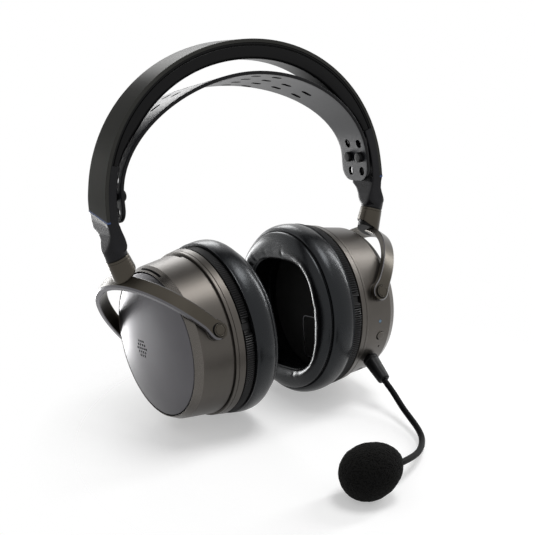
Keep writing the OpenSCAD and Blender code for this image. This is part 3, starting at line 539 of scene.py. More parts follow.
def open_foam():
    """Black open-cell foam: pits where Voronoi cells are near their middle, painted darker as
    shade, over finer noise.
    """
    f = Finish("foam", Specular_IOR_Level=0.04, Sheen_Weight=0.02, Sheen_Roughness=0.6)
    pits = f.node("ShaderNodeTexVoronoi", {}, {"Vector": f.place(), "Scale": 1.1})
    fine = f.noise(3.0, 4.0)
    wall = pits.between(0.15, 0.6)
    f.feed(
        # The pits are painted darker than the cell walls, as shade in the open cells.
        Base_Color=f.mix(wall * 0.7 + fine * 0.3, colour(3, 3, 3), colour(26, 26, 25)),
        Roughness=0.95 - fine * 0.1,
        Normal=f.bump(wall + fine * 0.5, 0.35),
    )
    return f.material


black_leatherette = leatherette()
driver_cloth = woven_cloth("driver_cloth", colour(20, 20, 20))
foam = open_foam()

# %% Light, board, magnet and the other inner finishes
def glowing_lens():
    """A pale blue window with a faint glow of its own."""
    glow = colour(110, 150, 186)
    f = Finish("light_lens", Emission_Strength=0.12, Roughness=0.3, Emission_Color=glow)
    f.feed(Base_Color=f.mix(f.noise(2.0), colour(84, 108, 124), colour(96, 124, 142)))
    return f.material


light_lens = glowing_lens()
black_screw = moulded("black_screw", (20, 20, 21), 0.3, specular=0.5)
frame_alloy = cast_metal("frame_alloy", (120, 120, 124), (134, 134, 138), 0.4)
magnet_steel = cast_metal("magnet_steel", (130, 131, 135), (146, 147, 150), 0.3)
port_steel = cast_metal("port_steel", (160, 160, 163), (172, 172, 175), 0.28)
board_green = moulded("board_green", (22, 74, 44), 0.45)
battery_wrap = moulded("battery_wrap", (150, 152, 156), 0.4)
driver_film = moulded("driver_film", (170, 150, 96), 0.25, specular=0.6)
capsule_plastic = moulded("capsule_plastic", (40, 40, 41), 0.45)
print(len(bpy.data.materials), "materials")

# %% [markdown]
# ## The sprung headband
# The band is a flat steel strip, 20.5 mm wide and 2 mm thick, bent to an arch that is a little
# squarer than an ellipse. A superellipse draws it: x = a·cos(t)^(2/n), z = b·sin(t)^(2/n). The
# section is carried along it, always square to the arch, because depth is measured along the
# arch's own normal. Both lower ends are cut on a slant, so the grid is sheared there.

# %% The arch and its stations
NEAR_END = 1e-4  # the arch's angle starts this far from its end, where the formula has no normal


def arch_line(half, rise, power, t):
    """Points (x, z) of a superellipse arch and its outward normals, t from 0 to pi."""
    cos, sin = np.cos(t), np.sin(t)
    size, turn = np.abs(cos), np.sign(cos)
    line = np.stack([half * turn * size ** (2 / power), rise * sin ** (2 / power)], -1)
    slope = np.stack([turn * size ** (2 - 2 / power) / half, sin ** (2 - 2 / power) / rise], -1)
    return line, unit(slope)


def band_line(t):
    """Places and normals along the band's outer face."""
    line, normal = arch_line(band_half, band_rise, band_power, t)
    return line + [0, band_side], normal


def arch_turn(z):
    """The angle on the band's arch at a height."""
    return np.arcsin(((z - band_side) / band_rise) ** (band_power / 2))


def strip(low, high, cuts, steps=4):
    """A section (y, depth) as wide as the band, between two depths."""
    y = band_width / 2
    return rounded([(-y, low), (-y, high), (y, high), (y, low)], cuts, steps)


def along_band(line, normal, section, depth=None):
    """Section points (y, depth) at each station: the station less depth times its normal."""
    depth = np.broadcast_to(section[:, 1] if depth is None else depth, (len(line), len(section)))
    flat = line[:, None] - depth[..., None] * normal[:, None]
    y = np.broadcast_to(band_y + section[:, 0], depth.shape)
    return np.stack([flat[..., 0], y, flat[..., 1]], -1)


# %% The steel strip
def spring(steps=120, slant_fades=16):
    """The strip on the arch and its straight sides; the slant fades out above the stripe."""
    line, normal = band_line(np.linspace(NEAR_END, np.pi - NEAR_END, steps))
    foot = np.array([[band_half, stripe_z]])
    line = np.concatenate([foot, line, foot * [-1, 1]])
    normal = np.concatenate([[[1.0, 0.0]], normal, [[-1.0, 0.0]]])
    points = along_band(line, normal, strip(0, steel, [0.35, 0.2, 0.2, 0.35]))
    reach = 1 - soft_step((points[..., 2] - stripe_z) / slant_fades)
    points[..., 2] += (points[..., 1] - band_y) * stripe_slope * reach
    return skin(points)


spring_arch = build("spring_arch", spring(), crease=50)
finish_piece(spring_arch, "headband", "spring_steel", ["headband_spring"], spring_steel)
print("spring:", len(spring_arch.data.polygons), "faces")

# %% [markdown]
# ## The black lining
# Under the steel runs a black lining, 5.6 mm deep at its ends and 9 mm at the crown. Its front and
# back show a narrow lip, a groove and then a rounded body. The same arch carries it, and the depth
# of the body grows with a soft step from the ends upwards.

# %% The lining
def lining(steps=140, crown_depth=11.0, grows_over=20):
    """The section under the steel, whose body deepens over the first degrees of the arch."""
    lip, groove, inset = 3.0, 3.5, 0.7
    edge = (band_width - 1) / 2
    depth_end = steel + 5.6
    back = [
        (edge, depth_end), (edge, groove + 0.35), (edge - inset, groove),
        (edge - inset, lip + 0.15), (edge, lip), (edge, steel + 0.1),
    ]
    cuts = [2.6, 0.3, 0.1, 0.1, 0.25, 0.1]
    front = [(-y, depth) for y, depth in back[::-1]]
    section = rounded(front + back, cuts[::-1] + cuts, steps=6)
    start = arch_turn(lining_end)
    t = np.linspace(start, np.pi - start, steps)
    rise = soft_step((np.minimum(t, np.pi - t) - t[0]) / np.radians(grows_over))
    share = np.clip((section[:, 1] - groove - 0.35) / (depth_end - groove - 0.35), 0, 1)
    depth = section[:, 1] + (crown_depth - depth_end) * rise[:, None] * share
    return skin(along_band(*band_line(t), section, depth))


band_pad = build("band_pad", lining(), crease=50)
finish_piece(band_pad, "headband", "band_lining", ["headband_lining"], band_lining)

# %% [markdown]
# ## End pieces
# Each end of the band is held by a charcoal moulding. Its upper lap lies behind the steel up to the
# lining. Below the blue stripe it comes flush with the steel, then its back edge draws in sharply,
# which leaves a facet, and the neck turns from a rounded rectangle into the round joint.
# It is a loft: a few sections, each with its own width, depth and squareness, joined in order.

# %% Sections of the end piece
joint_r, joint_rise = 6.4, 3.2  # of the end piece, where it meets the joint


def end_sections():
    """Rows of (height, outer x, inner x, front y, back y, squareness), from the stripe down."""
    front, back = band_y - band_width / 2, band_y + band_width / 2
    inner = band_half - steel - 5.0
    neck = swivel_at[2] + joint_rise
    neck_x, neck_y = swivel_at[0] + joint_rise * np.tan(lean), swivel_at[1]
    h = stripe_z - neck
    return np.array([
        [stripe_z - 0.9, band_half, inner, front, back, 16],
        [stripe_z - 0.2 * h, band_half - 0.5, inner - 0.3, front, back, 16],
        [stripe_z - 0.37 * h, band_half - 0.9, inner - 0.9, front, back - 0.6, 14],
        [stripe_z - 0.5 * h, band_half - 1.25, inner - 1.8, front, back - 4.6, 12],
        [stripe_z - 0.53 * h, band_half - 1.3, inner - 2.0, front, back - 5.4, 12],
        [stripe_z - 0.66 * h, band_half - 0.7, inner - 3.0, front - 0.2, back - 7.2, 8],
        [stripe_z - 0.84 * h, band_half + 0.6, inner - 4.0, front - 0.4, back - 8.2, 5],
        [neck, neck_x + joint_r, neck_x - joint_r, neck_y - joint_r, neck_y + joint_r, 2.1],
    ])


def superellipse(x0, x1, y0, y1, power, steps):
    """A loop between x0..x1 and y0..y1: |x|^n + |y|^n = 1, from an ellipse at 2 to a box."""
    a = 2 * np.pi * (np.arange(steps) + 0.5) / steps
    cos, sin = np.cos(a), np.sin(a)
    x = (x0 + x1) / 2 + (x1 - x0) / 2 * np.sign(cos) * np.abs(cos) ** (2 / power)
    y = (y0 + y1) / 2 + (y1 - y0) / 2 * np.sign(sin) * np.abs(sin) ** (2 / power)
    return np.stack([x, y], -1)


def end_loft(side, steps=96, rows_each=6):
    """Rows between the sections are blended evenly, which keeps the facets flat."""
    rows = end_sections()
    place = np.linspace(0, len(rows) - 1, rows_each * (len(rows) - 1) + 1)
    blend = np.stack([np.interp(place, np.arange(len(rows)), column) for column in rows.T], -1)
    loops = []
    for z, outer, inner, front, back, power in blend:
        loop = superellipse(inner, outer, front, back, power, steps)
        slant = (loop[:, 1] - band_y) * stripe_slope * soft_step((z - stripe_z + 7) / 6)
        loops.append(np.column_stack([loop, z + slant]))
    r = joint_r - 0.05
    ring = superellipse(-r, r, -r, r, 2, steps)
    loops += [on_swivel(np.column_stack([ring, np.full(steps, z)])) for z in (0.85, 0.7)]
    return skin(np.array(loops) * [side, 1, 1])


def end_lap(side):
    """The lap behind the steel: a rounded strip along the band's arch up to the lining."""
    line, normal = band_line(np.linspace(NEAR_END, arch_turn(lining_end) - 0.003, 16))
    line = np.concatenate([[[band_half, stripe_z - 4.5]], line])
    normal = np.concatenate([[[1.0, 0.0]], normal])
    section = strip(steel + 0.05, steel + 5.0, [0.1, 1.0, 1.0, 0.1])
    return skin(along_band(line, normal, section) * [side, 1, 1])


# %% The end pieces
pair(
    "end_moulding", lambda side: (end_loft(side), end_lap(side)),
    "headband", "charcoal_plastic", "end_piece", charcoal_plastic, crease=22,
)

# %% [markdown]
# ## The suspension strap
# The strap that rests on the head is one piece of moulded rubber, 2 mm thick. It hangs from the
# pegs in a lower arch, wider and lower towards the back of the crown, so its front and back edges
# follow two arches and the surface is ruled between them. Its tabs end round. The slots are cut
# at the end with one exact boolean, so their walls are clean.
# Its edges and slot walls are painted in a darker, duller rubber, as shade.

# %% The strap's two edges
strap_half = strap_high[0]
strap_power = (1.91, 1.98)  # of the front and the back edge's arch
strap_thick, strap_wide = 2.0, 24.4
front_swell, back_swell = 4.2, 13.9  # how far the edges spread at the crown
peg_z = stripe_z + 9.4
tab_low = strap_low[2]
lining_z = spring_high[2] - 2 - 9  # the lining's underside at the crown
strap_rise = (lining_z - 6.5 - peg_z, lining_z - 12.5 - peg_z)
strap_front = band_y + 1.45 - 12.2
peg_step, row_step = 10.3, 8.5  # between the pegs, and between the rows of size holes


def strap_surface(t, low_z, y_cut, section):
    """Points of the ruled strap.

    At angle t the front edge is at y0 = front - 4.2 sin²t and the back edge at y1 = front + 24.4
    + 13.9 sin²t. Between them a share v of the way, the arch is (1-v)·front + v·back, and
    thickness runs along the normal there. low_z moves a station straight down, for the tabs, and
    y_cut narrows it from both sides.
    """
    swell = np.sin(t) ** 2
    y0 = strap_front - front_swell * swell + y_cut
    y1 = strap_front + strap_wide + back_swell * swell - y_cut
    inset, share, depth = section.T
    y = y0[:, None] + inset + (y1 - y0)[:, None] * share
    v = (y - y0[:, None]) / (y1 - y0)[:, None]
    edges = [arch_line(strap_half, rise, power, t) for rise, power in zip(strap_rise, strap_power)]
    v = v[..., None]
    line, normal = ((1 - v) * front[:, None] + v * back[:, None] for front, back in zip(*edges))
    flat = line - depth[None, :, None] * unit(normal)
    return np.stack([flat[..., 0], y, flat[..., 1] + peg_z - low_z[:, None]], -1)


# %% The strap's solid and its slots
def strap_solid(steps=150, tab_steps=14, corner=8.0):
    """The tabs with their round corners, a straight row and the arch, and the same mirrored."""
    across = np.linspace(0, 1, 13)[1:-1]
    edge = np.array([[0, 0, 1.0], [0, 0, 0.45], [0.13, 0, 0.13], [0.45, 0, 0]])
    top = np.column_stack([np.zeros(11), across, np.zeros(11)])
    upper = np.concatenate([edge, top, (edge * [-1, 0, 1] + [0, 1, 0])[::-1]])
    lower = (upper * [1, 1, -1] + [0, 0, strap_thick])[::-1][1:-1]
    section = np.concatenate([upper, lower])
    fall = corner * (1 - np.cos(np.linspace(0, np.pi / 2, tab_steps)))
    cut = corner - np.sqrt(np.maximum(0, corner**2 - (corner - fall - 0.02) ** 2))
    end = 1e-3  # of the strap's angle
    tab = strap_surface(np.full(tab_steps, end), peg_z - (tab_low + 0.02 + fall), cut, section)
    straight = strap_surface(np.full(1, end), np.array([2.5]), np.zeros(1), section)
    middle = strap_surface(
        np.linspace(end, np.pi - end, steps), np.zeros(steps), np.zeros(steps), section
    )
    mirror = np.array([-1, 1, 1])
    rows = [tab, straight, middle, straight * mirror, tab[::-1] * mirror]
    # The edge columns take the darker rubber, painted as shade.
    sides = np.zeros(len(section), int)
    sides[:3] = sides[-3:] = 1
    sides[len(upper) - 4 : len(upper) + 2] = 1
    return skin(np.concatenate(rows), slots=sides)


def slot_tool(radius, long, low, high, steps=12):
    """A round-ended slot as a closed prism along local Z, long along local X."""
    half = np.linspace(-np.pi / 2, np.pi / 2, steps)
    end = np.stack([radius * np.cos(half) + long / 2 - radius, radius * np.sin(half)], -1)
    loop = np.concatenate([end, -end])
    return skin(np.array([np.column_stack([loop, np.full(len(loop), z)]) for z in (low, high)]))


def strap_slots():
    """Size holes in three rows at the pegs, and perforations in columns across the crown."""
    tools = []
    for side in (1, -1):
        for k in (-1, 0, 1):
            tip = np.radians(10 * max(k, 0))
            across, out = [-np.sin(tip), 0, np.cos(tip)], [np.cos(tip), 0, np.sin(tip)]
            for y in (-0.5, 0.5):
                middle = [strap_half, band_y + y * peg_step, peg_z + k * row_step]
                at = place_by(middle, across, [0, 1, 0], out)
                tools.append(moved(slot_tool(2.2, 5.2, -6, 12), at, side))
        crown_y = (strap_front - front_swell + strap_front + strap_wide + back_swell) / 2 + 1.3
        for k in range(4):
            for row in ((-1.5, -0.5, 0.5, 1.5) if k < 2 else (-0.5, 0.5)):
                at = place_by([9.3 + 13.6 * k, crown_y + 10.6 * row, peg_z], *np.eye(3))
                tools.append(moved(slot_tool(1.6, 6.2, 0, 100), at, side))
    return tools


# %% The strap
strap = build("head_strap", strap_solid(), crease=60)
strap.data.materials.append(strap_rubber)
# The edges and slot walls take the darker rubber, painted as shade.
strap.data.materials.append(strap_edge_painted_shade)
carve(strap, *strap_slots(), finish=strap_edge_painted_shade)
finish_piece(strap, "headband", "strap_rubber", ["suspension_strap"], strap_rubber, strap_edge_painted_shade)
print("strap:", len(strap_slots()), "slots")


# %% [markdown]
# ## Pegs
# Four pegs with knobs carry the strap. A knob is pushed through a slot and can't slip back, so it
# is a small mushroom: a shaft, an undercut and a softly domed head. That is a revolved outline.

# %% Pegs
def peg(side, y, shaft=1.9, knob=3.0):
    """A shaft from the end piece to the strap's inner face, and a knob beyond it."""
    start, strap_face = band_half - steel - 2, strap_half - strap_thick - 0.4
    reach = start - strap_face
    outline = rounded(
        [(AXIS, 0), (shaft, 0), (shaft, reach), (knob, reach), (knob, reach + 1.9),
         (knob - 0.5, reach + 2.4), (AXIS, reach + 2.4)],
        [AXIS, 0.1, 0.3, 0.25, 0.4, 0.3, AXIS],
    )
    at = place_by([start, band_y + y * peg_step, peg_z], [0, 0, 1], [0, 1, 0], [-1, 0, 0])
    return moved(revolved(outline, 48), at, side)


pair(
    "pegs", lambda side: (peg(side, -0.5), peg(side, 0.5)),
    "headband", "black_plastic", "strap_pegs", black_plastic, crease=40,
)


# %% [markdown]
# ## Sleeves
# A short conical sleeve hangs on the swivel pin under each end piece and lies on the yoke. Its
# lower end follows the yoke's outer face, an elliptical cylinder. For every line down the cone,
# the place where it meets that cylinder is found by halving an interval forty times, for all
# lines at once.

# %% Sleeves that end on the yoke
yoke_reach, yoke_span = 48.6, 46.98  # half axes of the yoke's middle line
yoke_thick, yoke_wide = 3.6, 8.0
sleeve_r, sleeve_bore, sleeve_long = 6.4, 4.5, 22.0
sleeve_grow = 1.3 / 22.0  # growth of the radius for each millimetre down


def depth_to_yoke(radius, angle):
    """How far down the swivel axis a line at this radius and angle meets the yoke's outer face."""
    low, high = np.zeros_like(angle), np.full_like(angle, sleeve_long + 2)
    to_yoke = np.array([yoke_out, tilt_line])
    reach, span = yoke_reach + yoke_thick / 2, yoke_span + yoke_thick / 2
    for _ in range(40):
        s = (low + high) / 2
        at = on_swivel(polar(radius + sleeve_grow * s, angle, -s)) - tilt_at
        x, y = (at @ to_yoke.T).T
        inside = (x / reach) ** 2 + (y / span) ** 2 < 1
        low, high = np.where(inside, low, s), np.where(inside, s, high)
    return np.minimum(low, sleeve_long)


# Down the outside with a fine groove, round the lower edge, and back up the bore: rows of
# (share of the way down, extra depth, radius).
sleeve_outside = np.array([
    (0, 0.02, 6.1), (0, 0.1, 6.34), (0, 0.35, 6.4), (0, 1.1, 6.4), (0, 1.2, 6.22), (0, 1.4, 6.22),
    (0, 1.5, 6.4), (0.3, 1.0, 6.4), (0.6, 0.5, 6.4), (0.9, 0, 6.4), (1, -0.45, 6.4),
    (1, -0.12, 6.28), (1, 0.0, 6.0),
])
sleeve_inside = np.array([
    (1, 0, 4.6), (1, -0.3, 4.5), (0, 5.6, 4.5), (0, 5.6, 0.01), (0, 4.4, 0.01), (0, 4.4, 3.5),
    (0, 0.02, 3.5),
])


def sleeve(side, steps=128):
    """s = share·(depth to the yoke) + extra down the axis, and the radius grows with s outside."""
    angle = full_turn(steps)
    depths, radii = [], []
    outside, inside = (sleeve_outside, sleeve_r, sleeve_grow), (sleeve_inside, sleeve_bore, 0)
    for table, start, grow in (outside, inside):
        share, extra, radius = table.T
        s = share * depth_to_yoke(start, angle)[:, None] + extra
        depths.append(s)
        radii.append(radius + grow * s)
    points = polar(np.concatenate(radii, 1), angle[:, None], -np.concatenate(depths, 1))
    return moved(skin(points, ring=True), on_swivel, side)


pair(
    "sleeve", lambda side: [sleeve(side)],
    "yoke", "gunmetal_alloy", "swivel_sleeve", gunmetal_alloy, crease=40,
)


# %% [markdown]
# ## Yokes
# Each yoke is a strip bent to half an ellipse that ends in two round eyes on the tilt axis. It is a
# sweep: the section is a flat rectangle whose lower outer edge has a broad bright chamfer, and
# beyond the axis the strip's width shrinks as a circle does, which makes the eyes round.

# %% Yokes
def yoke(side, steps=120, eye=5.0, eye_steps=15, eye_fades=7):
    """The section (thickness, width) along the ellipse (reach·sin t, span·cos t)."""
    t = np.linspace(0, np.pi, steps)
    bow = np.stack([yoke_reach * np.sin(t), yoke_span * np.cos(t)], -1)
    out = unit(np.stack([np.sin(t) / yoke_reach, np.cos(t) / yoke_span], -1))
    end = -eye * np.sin(np.linspace(0, np.pi / 2 - 0.02, eye_steps + 1))[1:]
    first = np.stack([end[::-1], np.full(eye_steps, yoke_span)], -1)
    last = np.stack([end, np.full(eye_steps, -yoke_span)], -1)
    line = np.concatenate([first, bow, last])
    up = np.tile([[0.0, 1.0]], (eye_steps, 1))
    normal = np.concatenate([up, out, -up])
    along = line[:, :1]
    arm = yoke_wide / 2 + (eye - yoke_wide / 2) * (1 - soft_step(along / eye_fades))
    half = np.where(along > 0, arm, np.sqrt(np.maximum(eye**2 - along**2, 0.01)))
    chamfer, small = np.minimum(0.9, half * 0.4), np.minimum(0.4, half * 0.2)
    thick = np.full_like(half, yoke_thick / 2)
    # (thickness, width) of the section's corners, outside first and upper edge first.
    corners = [
        (thick, half - small), (thick - small, half), (small - thick, half), (-thick, half - small),
        (-thick, small - half), (small - thick, -half), (thick - chamfer, -half),
        (thick, chamfer - half),
    ]
    depth, width = (np.concatenate(column, 1) for column in zip(*corners))
    flat = line[:, None] + depth[..., None] * normal[:, None]
    points = np.concatenate([flat, width[..., None]], -1)
    return moved(skin(points, slots=np.array([1, 0, 0, 0, 1, 1, 1, 0])), in_yoke, side)


pair(
    "yoke_bow", lambda side: [yoke(side)],
    "yoke", "gunmetal_alloy", "yoke", gunmetal_alloy, polished_edge, crease=25,
)

# %% [markdown]
# ## Tilt pins
# A pin goes through each eye into the cup and ends in a flat head. The head has a fine turned
# ring near its edge and a slightly raised middle, both in its revolved outline. A black washer
# shows as a thin ring under it.

# %% Tilt pins
def on_pivot(end):
    """Local Z points out along the tilt axis, from the inner face of the yoke's eye."""
    eye_face = end * (yoke_span - yoke_thick / 2)
    return place_by(tilt_at + eye_face * tilt_line, [1, 0, 0], tilt_up, end * tilt_line)


def pin(side, end, shaft=1.8, head=3.4, washer=3.85):
    """The pin with its ringed head, and the washer under the head."""
    under, top = 3.75, 4.7
    outline = rounded(
        [(AXIS, -5.0), (shaft, -5.0), (shaft, under), (head, under), (head, top), (3.05, top),
         (2.9, top - 0.3), (2.65, top - 0.3), (2.5, top), (AXIS, top)],
        [AXIS, 0.2, 0.05, 0.15, 0.2, 0.1, 0.05, 0.05, 0.1, AXIS],
    )
    flat = rounded([(shaft, 3.5), (shaft, 3.78), (washer, 3.78), (washer, 3.5)], 0.03)
    shapes = revolved(outline, 64), revolved(flat, 64, 1)
    return [moved(shape, on_pivot(end), side) for shape in shapes]


pair(
    "tilt_pins", lambda side: pin(side, 1) + pin(side, -1),
    "yoke", "gunmetal_alloy", "pivot_pins", gunmetal_alloy, black_plastic, crease=40,
)

# %% [markdown]
# ## Cup housings
# The housing is a turned shell: a chamfer round the cover, a drum that widens towards the head, a
# groove and a lip. One outline holds all of that, wall included, and is revolved. The button,
# light, sockets and slots are then cut through it with exact booleans. Their walls and the seam
# wall round the cover are painted black, as shade.

# %% The housing's outline
cover_r, seam_w = 40.2, 13.15  # the cover's opening and its height along the cup's axis
drum_out, drum_in = 43.05, 45.25  # radii of the drum at the chamfer and at the groove
chamfer_w, groove_w = 8.96, -8.83
lip_w, lip_end, shoulder_w = -9.3, -14.7, -12.4
lip_out, lip_in = 46.4, 47.3


def drum_radius(w):
    """The drum's outer radius at a place along the cup's axis: it grows evenly to the groove."""
    return drum_out + (chamfer_w - w) * (drum_in - drum_out) / (chamfer_w - groove_w)


def housing_outline():
    """From the seam down the chamfer, drum, groove and lip with its fine V, and back inside.

    Rows of (radius, place along the axis, cut of the corner).
    """
    table = np.array([
        (cover_r + 0.2, seam_w - 2.05, 0.05), (cover_r + 0.2, seam_w, 0.15),
        (cover_r + 0.7, seam_w, 0.15), (drum_out, chamfer_w, 0.3), (drum_in, groove_w, 0.7),
        (drum_in - 0.8, groove_w, 0.1), (drum_in - 0.8, lip_w, 0.1), (lip_out, lip_w, 0.35),
        (lip_out + 0.22, lip_w - 1.6, 0.08), (lip_out - 0.15, lip_w - 1.8, 0.05),
        (lip_out + 0.28, lip_w - 2.0, 0.08), (lip_in, lip_end, 0.3), (lip_in - 2.3, lip_end, 0.1),
        (lip_in - 2.3, shoulder_w, 0.1), (drum_in - 2, shoulder_w, 0.1),
        (drum_out - 2.2, chamfer_w - 0.8, 0.1), (cover_r - 1.4, seam_w - 3.2, 0.1),
        (cover_r - 1.4, seam_w - 2.05, 0.1),
    ])
    return rounded(table[:, :2], table[:, 2])


def on_drum(angle, w):
    """Local Z points out of the drum at an angle below the cup's front."""
    a = np.radians(angle)
    along, out = [np.sin(a), -np.cos(a), 0], [-np.cos(a), -np.sin(a), 0]
    local = place_by([0, 0, w], [0, 0, -1], along, out)
    return lambda points, side=1: in_cup(local(points), side)


def bore(radius, angle, w, rim=0.15, low=-6.0, flare=1.2):
    """A cutter through the drum's wall with a small countersink at the surface."""
    face = drum_radius(w)
    bottom, top = face + low, face + flare - rim
    corners = [
        (AXIS, bottom), (radius, bottom), (radius, face - rim), (radius + flare, top), (AXIS, top),
    ]
    return moved(revolved(rounded(corners, AXIS), 48), on_drum(angle, w))


def arc_slot(start, span, radius, w, depth, height, steps=24):
    """A cutter along the cup's rim, from an angle over a span."""
    a = np.radians(np.linspace(start, start + span, steps))[:, None]
    r = radius + np.array([-depth, depth, depth, -depth])
    return skin(polar(r, a, w + np.array([0, 0, height, height])))


# %% The housings
# (angle below the front, place along the cup's axis) of what sits in the left drum.
light_at, button_at, hole_at = (8, 0.7), (19.8, 2.1), (30.2, 3.4)
boom_at, port_at, cable_at = (40.2, -0.6), (62, 0.8), (78, 1.2)


def housing(side):
    """The turned shell; its material slots are shell, seam wall painted black as shade, and turned
    chamfer.
    """
    outline = housing_outline()
    # The seam wall under the cover's edge takes the black painted as shade.
    wall = (outline[:, 0] < cover_r + 0.3) & (outline[:, 1] < seam_w - 0.1)
    edge = (outline[:, 0] > cover_r + 0.5) & (outline[:, 1] > chamfer_w)
    slots = np.where(wall, 1, np.where(edge, 2, 0))
    return [moved(revolved(outline, 240, slots), in_cup, side)]


def housing_cuts(side):
    """A slot in the chamfer and one in the groove, and the bores of the left drum."""
    cuts = [
        moved(arc_slot(82, 28, 41.6, 11.1, 1.0, 1.2), in_cup, side),
        moved(arc_slot(76, 21, drum_in, groove_w - 0.2, 1.6, 2.2), in_cup, side),
    ]
    if side > 0:
        cuts += [bore(0.95, *light_at), bore(2.65, *button_at, 0.2), bore(0.55, *hole_at, 0.08)]
        cuts += [bore(3.3, *boom_at), bore(3.3, *cable_at)]
        across = slot_tool(1.85, 9.5, 38, 50)
        cuts.append(moved(across, lambda points, side=1: on_drum(*port_at)(points[:, [1, 0, 2]])))
    return cuts


pair(
    "cup_shell", housing, "cup", "gunmetal_shell", "cup_housing",
    gunmetal_shell, recess_painted_shade, turned_edge, crease=30, cuts=housing_cuts,
)


def boss(side, end, radius=5.3):
    """A short round boss on the drum, which the yoke's eye turns on."""
    corners = [(AXIS, -3), (radius, -3), (radius, -0.3), (AXIS, -0.3)]
    outline = rounded(corners, [AXIS, 0.1, 0.2, AXIS])
    return moved(revolved(outline, 48), on_pivot(end), side)


pair(
    "tilt_bosses", lambda side: (boss(side, 1), boss(side, -1)),
    "cup", "gunmetal_shell", None, gunmetal_shell, crease=40,
)

# %% [markdown]
# ## Covers
# The outer face of each cup is a shallow dome: its height falls as 1 - (r/R)^2.6, slowly in the
# middle and faster at the edge. A narrow gap round it shows as a seam, painted black as shade.
# Behind its centre a hexagonal cluster of small vent holes is drilled, three on a side, their walls
# painted black as shade.

# %% Covers and vents
def dome_height(r):
    """4 mm times 1 - (r/R)^2.6."""
    return 4.0 * (1 - (r / cover_r) ** 2.6)


def cover(side, gap=0.45):
    """The dome with a rounded edge, and a back painted black as shade from the edge inwards."""
    edge = cover_r - gap
    rim_in, rim_down = np.array([[0.6, 0.25, 0.05, 0], [0.0, 0.08, 0.25, 0.5]])
    r = np.concatenate([[AXIS], np.linspace(1, edge - 0.5, 36), edge - 0.5 * rim_in])
    h = seam_w + dome_height(r)
    h[-4:] -= rim_down
    back = np.array([[edge, seam_w - 2], [edge - 3, seam_w - 2], [AXIS, seam_w + 1.8]])
    outline = np.concatenate([np.column_stack([r, h]), back])
    # The rim's underside and the back take the black painted as shade.
    slots = np.where(np.arange(len(outline)) >= len(r) - 1, 1, 0)
    return [moved(revolved(outline, 160, slots), in_cup, side)]


def vents(side, rings=2, pitch_mm=2.4, radius=0.75, middle=(8.6, -2.8)):
    """Blind holes at p·(i + j/2, j·√3/2) where |i|, |j| and |i + j| stay within the rings."""
    i, j = np.mgrid[-rings : rings + 1, -rings : rings + 1]
    x = middle[0] + pitch_mm * (i + j / 2)
    y = pitch_mm * j * np.sqrt(3) / 2 + middle[1]
    centres = np.stack([x, y, 0 * x], -1)[np.abs(i + j) <= rings]
    drill = rounded([(AXIS, 14.5), (radius, 14.5), (radius, 20), (AXIS, 20)], AXIS)
    points, faces, marks = revolved(drill, 16)
    return [moved((points + centre, faces, marks), in_cup, side) for centre in centres]


pair(
    "cup_dome", cover, "cup", "gunmetal_cover", "cup_cover",
    gunmetal_cover, recess_painted_shade, crease=40, cuts=vents,
)

# %% [markdown]
# ## Ribbed rings
# The cushion snaps on a black ring with fine ribs for the fingers, about 1.3 mm apart. They are a
# cosine in the radius along the ring's edge. Just above the front a notch with slanted ends
# takes the fingertip: there the ribs fade and the radius drops.

# %% Ribbed rings
ring_r, ring_out, ring_in = 47.5, -15.5, -20.7


def ribbed_ring(side, ribs=228, steps_each=6, rib_depth=0.32, notch_depth=1.7):
    """The turned ring less depth·(1 - cos(ribs·a)) on its rim, with a notch of slanted ends."""
    outline = rounded(
        [(38.5, ring_in), (38.5, -14.5), (44.4, -14.5), (44.4, ring_out), (ring_r, ring_out),
         (ring_r, ring_in)],
        [0.1, 0.1, 0.1, 0.1, 0.45, 0.45],
    )
    angle = full_turn(ribs * steps_each)[:, None]
    r, w = (np.broadcast_to(column, (len(angle), len(outline))) for column in outline.T)
    rim = soft_step((r - ring_r + 1.2) / 0.8)
    tilt = np.radians(3.2) * (w - ring_in) / (ring_out - ring_in)
    low, high = np.radians(163) + tilt, np.radians(174) - tilt
    notch = soft_step((angle - low) / 0.006) * soft_step((high - angle) / 0.006)
    r = r - rim * (rib_depth * (1 - np.cos(ribs * angle)) * (1 - notch) + notch_depth * notch)
    return [moved(skin(polar(r, angle, w), ring=True), in_cup, side)]


pair(
    "rib_ring", ribbed_ring,
    "cup", "ribbed_plastic", "pad_ring", ribbed_plastic, crease=60, even=False,
)


# %% [markdown]
# ## Ear cushions
# A cushion is a foam ring in a leather-like cover, sewn from three strips: a side strip, a face
# strip and an inner wall. Each strip bulges between its seams, so the section is drawn strip by
# strip, with a small valley at every seam. Round the ring the opening is a rounded rectangle and
# the outside a circle, and the section is stretched between them. Fine radial pleats gather at
# the inner seam, where the cover is pulled together.

# %% The cushion's section
pad_base, pad_depth = -21.0, 19.0  # the ring's face, and the cushion's depth towards the head
pad_seam = 46.3  # radius of the outer seam
open_half_w, open_half_h, open_power, open_shift = 32.6, 31.8, 2.9, -1.9


def opening_radius(angle):
    """Radius of the rounded opening: 1 / (|cos/w|^n + |sin/h|^n)^(1/n)."""
    across, up = np.abs(np.cos(angle) / open_half_w), np.abs(np.sin(angle) / open_half_h)
    return (across**open_power + up**open_power) ** (-1 / open_power)


